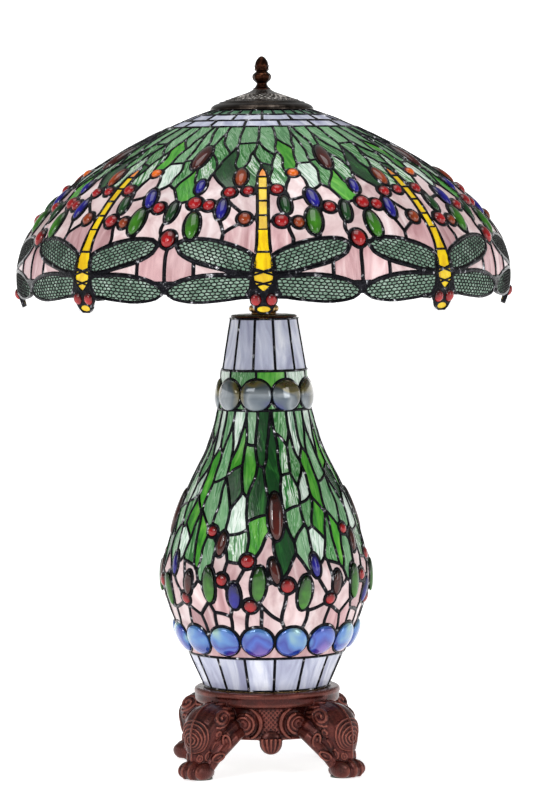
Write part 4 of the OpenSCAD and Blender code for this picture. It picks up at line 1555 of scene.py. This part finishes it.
def finial_profile():
    rough = [(3.3, 701.8), (9, 701.8), (9, 702.8), (7.2, 704), (5.8, 706), (5.3, 708), (6.4, 709.4), (8.2, 711.6),
             (9, 714.6), (8.6, 717.2), (6.6, 719.4), (5.6, 720.2), (6.8, 721.6), (7.2, 724), (7, 727), (5.9, 730.6),
             (4.2, 733.4), (2, 735.4), (0.3, 735.9)]
    fine = [rough[0], rough[1], rough[2]]
    for i in range(2, len(rough) - 1):
        a, b, c, d = (Vector(rough[min(max(i + k, 2), len(rough) - 1)]) for k in (-1, 0, 1, 2))
        for k in range(1, 5):
            f = k / 4
            p = 0.5 * ((2 * b) + (c - a) * f + (2 * a - 5 * b + 4 * c - d) * f * f + (3 * b - a - 3 * c + d) * f ** 3)
            fine.append((max(p.x, 0.2), p.y))
    return fine


def build_cap_and_finial():
    place(cap_panel().solder("cap_cone", CAP_DIAMONDS), PEWTER_PAINTED_HIGHLIGHT, "cap", "cap_pewter", "heat_cap")
    place(turned("cap_rim", CAP_RIM, 120, None, True), PEWTER, "cap", "cap_pewter", "heat_cap")
    beads = Builder()
    for k in range(72):
        t = 2 * math.pi * k / 72
        mid = Vector((36.6 * math.sin(t), -36.6 * math.cos(t), 690.7)) * MM
        blob(beads, mid, [Vector((1.0 * MM, 0, 0)), Vector((0, 1.0 * MM, 0)), Vector((0, 0, 0.8 * MM))], 8, 6)
    place(beads.make("cap_beads"), PEWTER, "cap", "cap_pewter", "heat_cap")
    place(turned("finial_pine", finial_profile(), 128, knurl), DARK_BRONZE, "finial", "finial_bronze", "finial")


def build_neck():
    place(turned("vase_cap", [(5.2, 467.6), (33, 467.6), (34.2, 468.2), (34.2, 469.2), (32.5, 470.2), (26, 470.9),
                              (12, 471), (5.2, 471)], 96, None, True), DARK_BRONZE, "stand", "dark_brass",
          "vase_top_cap")
    place(turned("knob", [(5.2, 471), (12, 471), (13.2, 471.6), (12.4, 472.8), (14.4, 474.4), (15, 476.6),
                          (14.2, 479), (11.6, 480.8), (10.8, 481.4), (8.4, 482), (5.2, 482)], 96,
                 lambda t, z: 0.03 * math.cos(16 * t) * (1 if 473 < z < 481 else 0), True),
          BRASS, "stand", "dark_brass", "neck_knob")
    place(turned("cluster", [(5.2, 552), (13, 552), (16, 554), (16, 556.5), (15.2, 557.5), (15.2, 572.5), (16, 573.5),
                             (16, 576), (13, 578), (9.5, 578.6), (9, 580), (9, 584), (5.2, 584)], 72, None, True),
          BRASS, "stand", "dark_brass", "cluster_body")


def sideways(side):
    """Lays what is turned about the axis along +X or -X at the sockets' height."""
    return Matrix.Translation((0, 0, 0.565)) @ Matrix.Rotation(math.radians(90 * side), 4, "Y")


def build_lights():
    shell = [(12, 15.5), (12, 22), (14.6, 24), (16.4, 27), (17, 30), (17, 44), (16.4, 45), (17, 46), (16.4, 47),
             (17, 48), (17, 69), (17.4, 70), (17, 71), (13.8, 71), (13.8, 46), (11, 46), (11, 15.5)]
    bulb = [(0.3, 50), (6, 50.4), (9, 51.6), (12.6, 54), (12.9, 56)]
    bulb += [(12.9 - 0.5 * (k % 2), 57 + k) for k in range(16)]
    bulb += [(12.9, 74), (12.8, 78), (15, 84), (19.4, 91), (25, 99)]
    bulb += [(30 * math.sin(math.radians(a)), 115 - 30 * math.cos(math.radians(a))) for a in range(62, 180, 8)]
    for word, side in (("left", -1), ("right", 1)):
        place(turned("shell_" + word, shell, 60, None, True, 35, sideways(side)), BRASS, "stand", "dark_brass",
              "socket_" + word)
        spout = turned("spout_" + word, [(2.1, 539), (4, 539), (4.6, 540), (3.8, 541.5), (3.8, 549), (2.1, 549)], 28,
                       None, True, 35, Matrix.Translation((side * 0.04, 0, 0)))
        place(spout, BRASS, "stand", "dark_brass", "socket_" + word)
        place(turned("lamp_" + word, bulb, 48, None, False, 35, sideways(side)), BULB, word + "_bulb", "bulb_glass",
              "bulb_" + word)
        chain = Builder()
        for k in range(16):
            mid = Vector((side * 0.04, 0, (506 + 2.6 * k) * MM))
            blob(chain, mid, [Vector((1.15 * MM, 0, 0)), Vector((0, 1.15 * MM, 0)), Vector((0, 0, 1.15 * MM))], 10, 8)
        rope(chain, [Vector((side * 0.04, 0, z * MM)) for z in (499, 525, 547)], [0.45, 0.45, 0.45], 8)
        bell = [(0.3, 496.2), (2.4, 496.8), (3.8, 498.8), (4, 500.4), (3, 502.6), (1.6, 504), (1.2, 505.4), (0.3, 506)]
        lathe_at = Matrix.Translation((side * 0.04, 0, 0))
        place(turned("bell_" + word, bell, 28, None, False, 35, lathe_at), BRIGHT_BRASS, word + "_chain", "brass",
              "pull_chain_" + word)
        place(chain.make("beads_" + word), BRIGHT_BRASS, word + "_chain", "brass", "pull_chain_" + word)
    night = [(0.3, 12), (5, 12.4), (6.2, 14)] + [(6.2 - 0.35 * (k % 2), 15 + k) for k in range(12)]
    night += [(6.2, 30), (6.6, 37), (9, 41), (12.3, 43.4)]
    night += [(14 * math.sin(math.radians(a)), 50 - 14 * math.cos(math.radians(a))) for a in range(66, 180, 9)]
    place(turned("lamp_night", night, 40, None, False, 35, Matrix.Translation((0.034, 0, 0.15))), BULB, "night_bulb",
          "bulb_glass", "vase_bulb")


def metal(name, stops, size=14, rough=(0.25, 0.45), edges=None, metallic=1.0, grain=1.2, grain_depth=0.25):
    """Aged metal: patches of tone and a fine cast grain; with an edges colour, sharp edges get a painted highlight and
    creases painted shade.
    """
    n = Nodes(name, Metallic=metallic)
    patches = n.ramp(n.noise(n.place(size), 1.0, 5.0, 0.6), stops)
    if edges:
        point = n.node("NewGeometry").outputs["Pointiness"]
        # Painted highlight: the sharpest edges are mixed towards the edges colour.
        painted_edge_highlight = n.node("MapRange")
        n.link(point, painted_edge_highlight.inputs["Value"])
        painted_edge_highlight.inputs["From Min"].default_value = 0.5
        painted_edge_highlight.inputs["From Max"].default_value = 0.58
        painted_edge_highlight_mix = n.node("MixRGB")
        n.link(painted_edge_highlight.outputs[0], painted_edge_highlight_mix.inputs["Fac"])
        n.link(patches, painted_edge_highlight_mix.inputs["Color1"])
        painted_edge_highlight_mix.inputs["Color2"].default_value = (*edges, 1)
        # Painted shade: creases are darkened, down to 0.12 of their value.
        deep = n.node("MapRange")
        n.link(point, deep.inputs["Value"])
        deep.inputs["From Min"].default_value = 0.4
        deep.inputs["From Max"].default_value = 0.5
        deep.inputs["To Min"].default_value = 0.12
        painted_crease_shade_mix = n.node("HueSaturation")
        n.link(painted_edge_highlight_mix.outputs[0], painted_crease_shade_mix.inputs["Color"])
        n.link(deep.outputs[0], painted_crease_shade_mix.inputs["Value"])
        n.colour(painted_crease_shade_mix.outputs[0])
    else:
        n.colour(patches)
    n.rough(n.spread(n.noise(n.place(size / 3), 1.0, 3.0), *rough))
    n.bump(n.noise(n.place(grain), 1.0, 4.0, 0.6), 0.4, grain_depth)
    return n.material


def plain(name, stops, size, rough, grain, depth, metallic=0.0, **values):
    """A speckled, slightly rough finish."""
    n = Nodes(name, Metallic=metallic, **values)
    n.colour(n.ramp(n.noise(n.place(size), 1.0, 4.0), stops))
    n.rough(n.spread(n.noise(n.place(size / 2)), *rough))
    n.bump(n.noise(n.place(grain), 1.0, 3.0), 0.5, depth)
    return n.material


# BRONZE and BRASS pass an edges colour: painted highlights on sharp edges and painted shade in creases.
BRONZE = metal("antique_bronze", [(0.3, linear(34, 9, 7)), (0.5, linear(66, 20, 16)), (0.7, linear(92, 36, 29))],
               16, (0.2, 0.36), linear(168, 98, 82), 0.6)
PEWTER = metal("cap_pewter", [(0.3, linear(26, 21, 18)), (0.5, linear(50, 43, 38)), (0.7, linear(82, 74, 68))],
               12, (0.14, 0.3))
# A lighter copy of the cap's pewter, for its pierced cone: a painted highlight of light falling from above.
PEWTER_PAINTED_HIGHLIGHT = metal("cap_pewter_painted_highlight", [(0.3, linear(70, 66, 62)), (0.5, linear(128, 124, 120)), (0.7, linear(176, 172, 168))],
                8, (0.18, 0.36))
DARK_BRONZE = metal("finial_bronze", [(0.3, linear(24, 12, 8)), (0.6, linear(52, 28, 18)), (0.75, linear(96, 60, 40))],
                    5, (0.14, 0.3))
BRASS = metal("dark_brass", [(0.3, linear(70, 42, 22)), (0.5, linear(120, 80, 42)), (0.7, linear(160, 116, 66))],
              10, (0.22, 0.4), linear(220, 180, 120))
BRIGHT_BRASS = metal("brass", [(0.3, linear(160, 120, 58)), (0.6, linear(206, 166, 90))], 10, (0.18, 0.35))
ZINC = metal("zinc_plate", [(0.3, linear(120, 118, 112)), (0.6, linear(168, 166, 160))], 8, (0.35, 0.55))
RUBBER = plain("rubber", [(0.3, linear(18, 18, 18)), (0.7, linear(36, 35, 34))], 6, (0.6, 0.8), 0.8, 0.1)
FELT = plain("felt", [(0.3, linear(26, 40, 28)), (0.7, linear(50, 68, 50))], 2, (0.9, 1.0), 0.5, 0.5,
             Sheen_Weight=0.5)
PORCELAIN = plain("porcelain", [(0.3, linear(214, 208, 194)), (0.7, linear(240, 236, 226))], 20, (0.12, 0.25), 6, 0.1)
BULB = plain("bulb_glass", [(0.3, linear(232, 230, 222)), (0.7, linear(250, 249, 244))], 30, (0.1, 0.2), 12, 0.05,
             Subsurface_Weight=0.2)
CAD_FINISH = {
    "foot_pads": FELT, "base_plate": ZINC, "cord_bushing": RUBBER, "center_pipe": BRIGHT_BRASS,
    "pipe_nut": BRIGHT_BRASS, "lock_washer": ZINC, "vase_bottom_ring": BRASS, "stem_tube": BRASS,
    "vase_socket_bracket": ZINC, "vase_socket": PORCELAIN, "wheel_nut": BRIGHT_BRASS, "stud_coupling": BRIGHT_BRASS,
    "finial_stud": BRIGHT_BRASS, "shade_wheel": BRASS, "shade_top_ring": BRASS,
}
for node, finish in CAD_FINISH.items():
    paint(frame["nodes"][node], finish)
build_base()
build_cap_and_finial()
build_neck()
build_lights()


# ---------------------------------------------------------------- stage, light and camera


def softbox(name, place, look, wide, high, power, colour=(1, 1, 1)):
    light = bpy.data.lights.new(name, "AREA")
    light.shape = "RECTANGLE"
    light.size = wide
    light.size_y = high
    light.energy = power
    light.color = colour
    obj = bpy.data.objects.new(name, light)
    bpy.context.scene.collection.objects.link(obj)
    obj.location = place
    obj.rotation_euler = (Vector(look) - Vector(place)).to_track_quat("-Z", "Y").to_euler()
    return obj


def backdrop():
    """A plain pale floor, round and wide, with a low curved rim, so that every side is seen against it."""
    reach, rim, height, steps = 14.0, 1.2, 3.0, 96
    curve = [math.radians(a) for a in range(9, 91, 9)]
    profile = [(reach, 0.0)] + [(reach + rim * math.sin(t), rim * (1 - math.cos(t))) for t in curve]
    profile.append((reach + rim, height))
    turns = [2 * math.pi * i / steps for i in range(steps)]
    verts = [(0, 0, 0)] + [(r * math.cos(t), r * math.sin(t), z) for r, z in profile for t in turns]
    faces = [(0, 1 + i, 1 + (i + 1) % steps) for i in range(steps)]
    for k in range(len(profile) - 1):
        low, high = 1 + k * steps, 1 + (k + 1) * steps
        for i in range(steps):
            j = (i + 1) % steps
            faces.append((low + i, low + j, high + j, high + i))
    obj = new_object("backdrop", verts, faces)
    n = Nodes("backdrop", Roughness=0.9, Emission_Color=(1, 1, 1, 1), Emission_Strength=0.76)
    n.colour(n.ramp(n.noise(n.place(900)), [(0.3, (0.8, 0.8, 0.8)), (0.7, (0.84, 0.84, 0.84))]))
    paint(obj, n.material)


def camera():
    data = bpy.data.cameras.new("camera")
    data.lens = 186
    data.sensor_width = 36
    data.clip_end = 50
    obj = bpy.data.objects.new("camera", data)
    bpy.context.scene.collection.objects.link(obj)
    eye = Vector((0, -4.25, 0.625))
    aim = Vector((0.002, 0, 0.383))
    turn = (aim - eye).to_track_quat("-Z", "Y").to_matrix() @ Matrix.Rotation(math.radians(-0.5), 3, "Z")
    obj.location = eye
    obj.rotation_euler = turn.to_euler()
    bpy.context.scene.camera = obj


def world(strength):
    w = bpy.data.worlds.new("world")
    bpy.context.scene.world = w
    w.use_nodes = True
    w.node_tree.nodes["Background"].inputs["Color"].default_value = (1, 1, 1, 1)
    w.node_tree.nodes["Background"].inputs["Strength"].default_value = strength


backdrop()
camera()
world(0.34)
softbox("key", (-2.4, -3.0, 2.6), (0, 0, 0.45), 2.2, 2.2, 44)
softbox("fill", (3.0, -2.4, 1.4), (0, 0, 0.4), 1.2, 2.2, 26)
softbox("top", (0, -0.3, 3.2), (0, 0, 0.5), 2.0, 2.0, 30)
softbox("glint", (-1.1, -2.4, 1.9), (0, 0, 0.5), 0.16, 0.4, 9)
bpy.context.scene.view_settings.view_transform = "Standard"
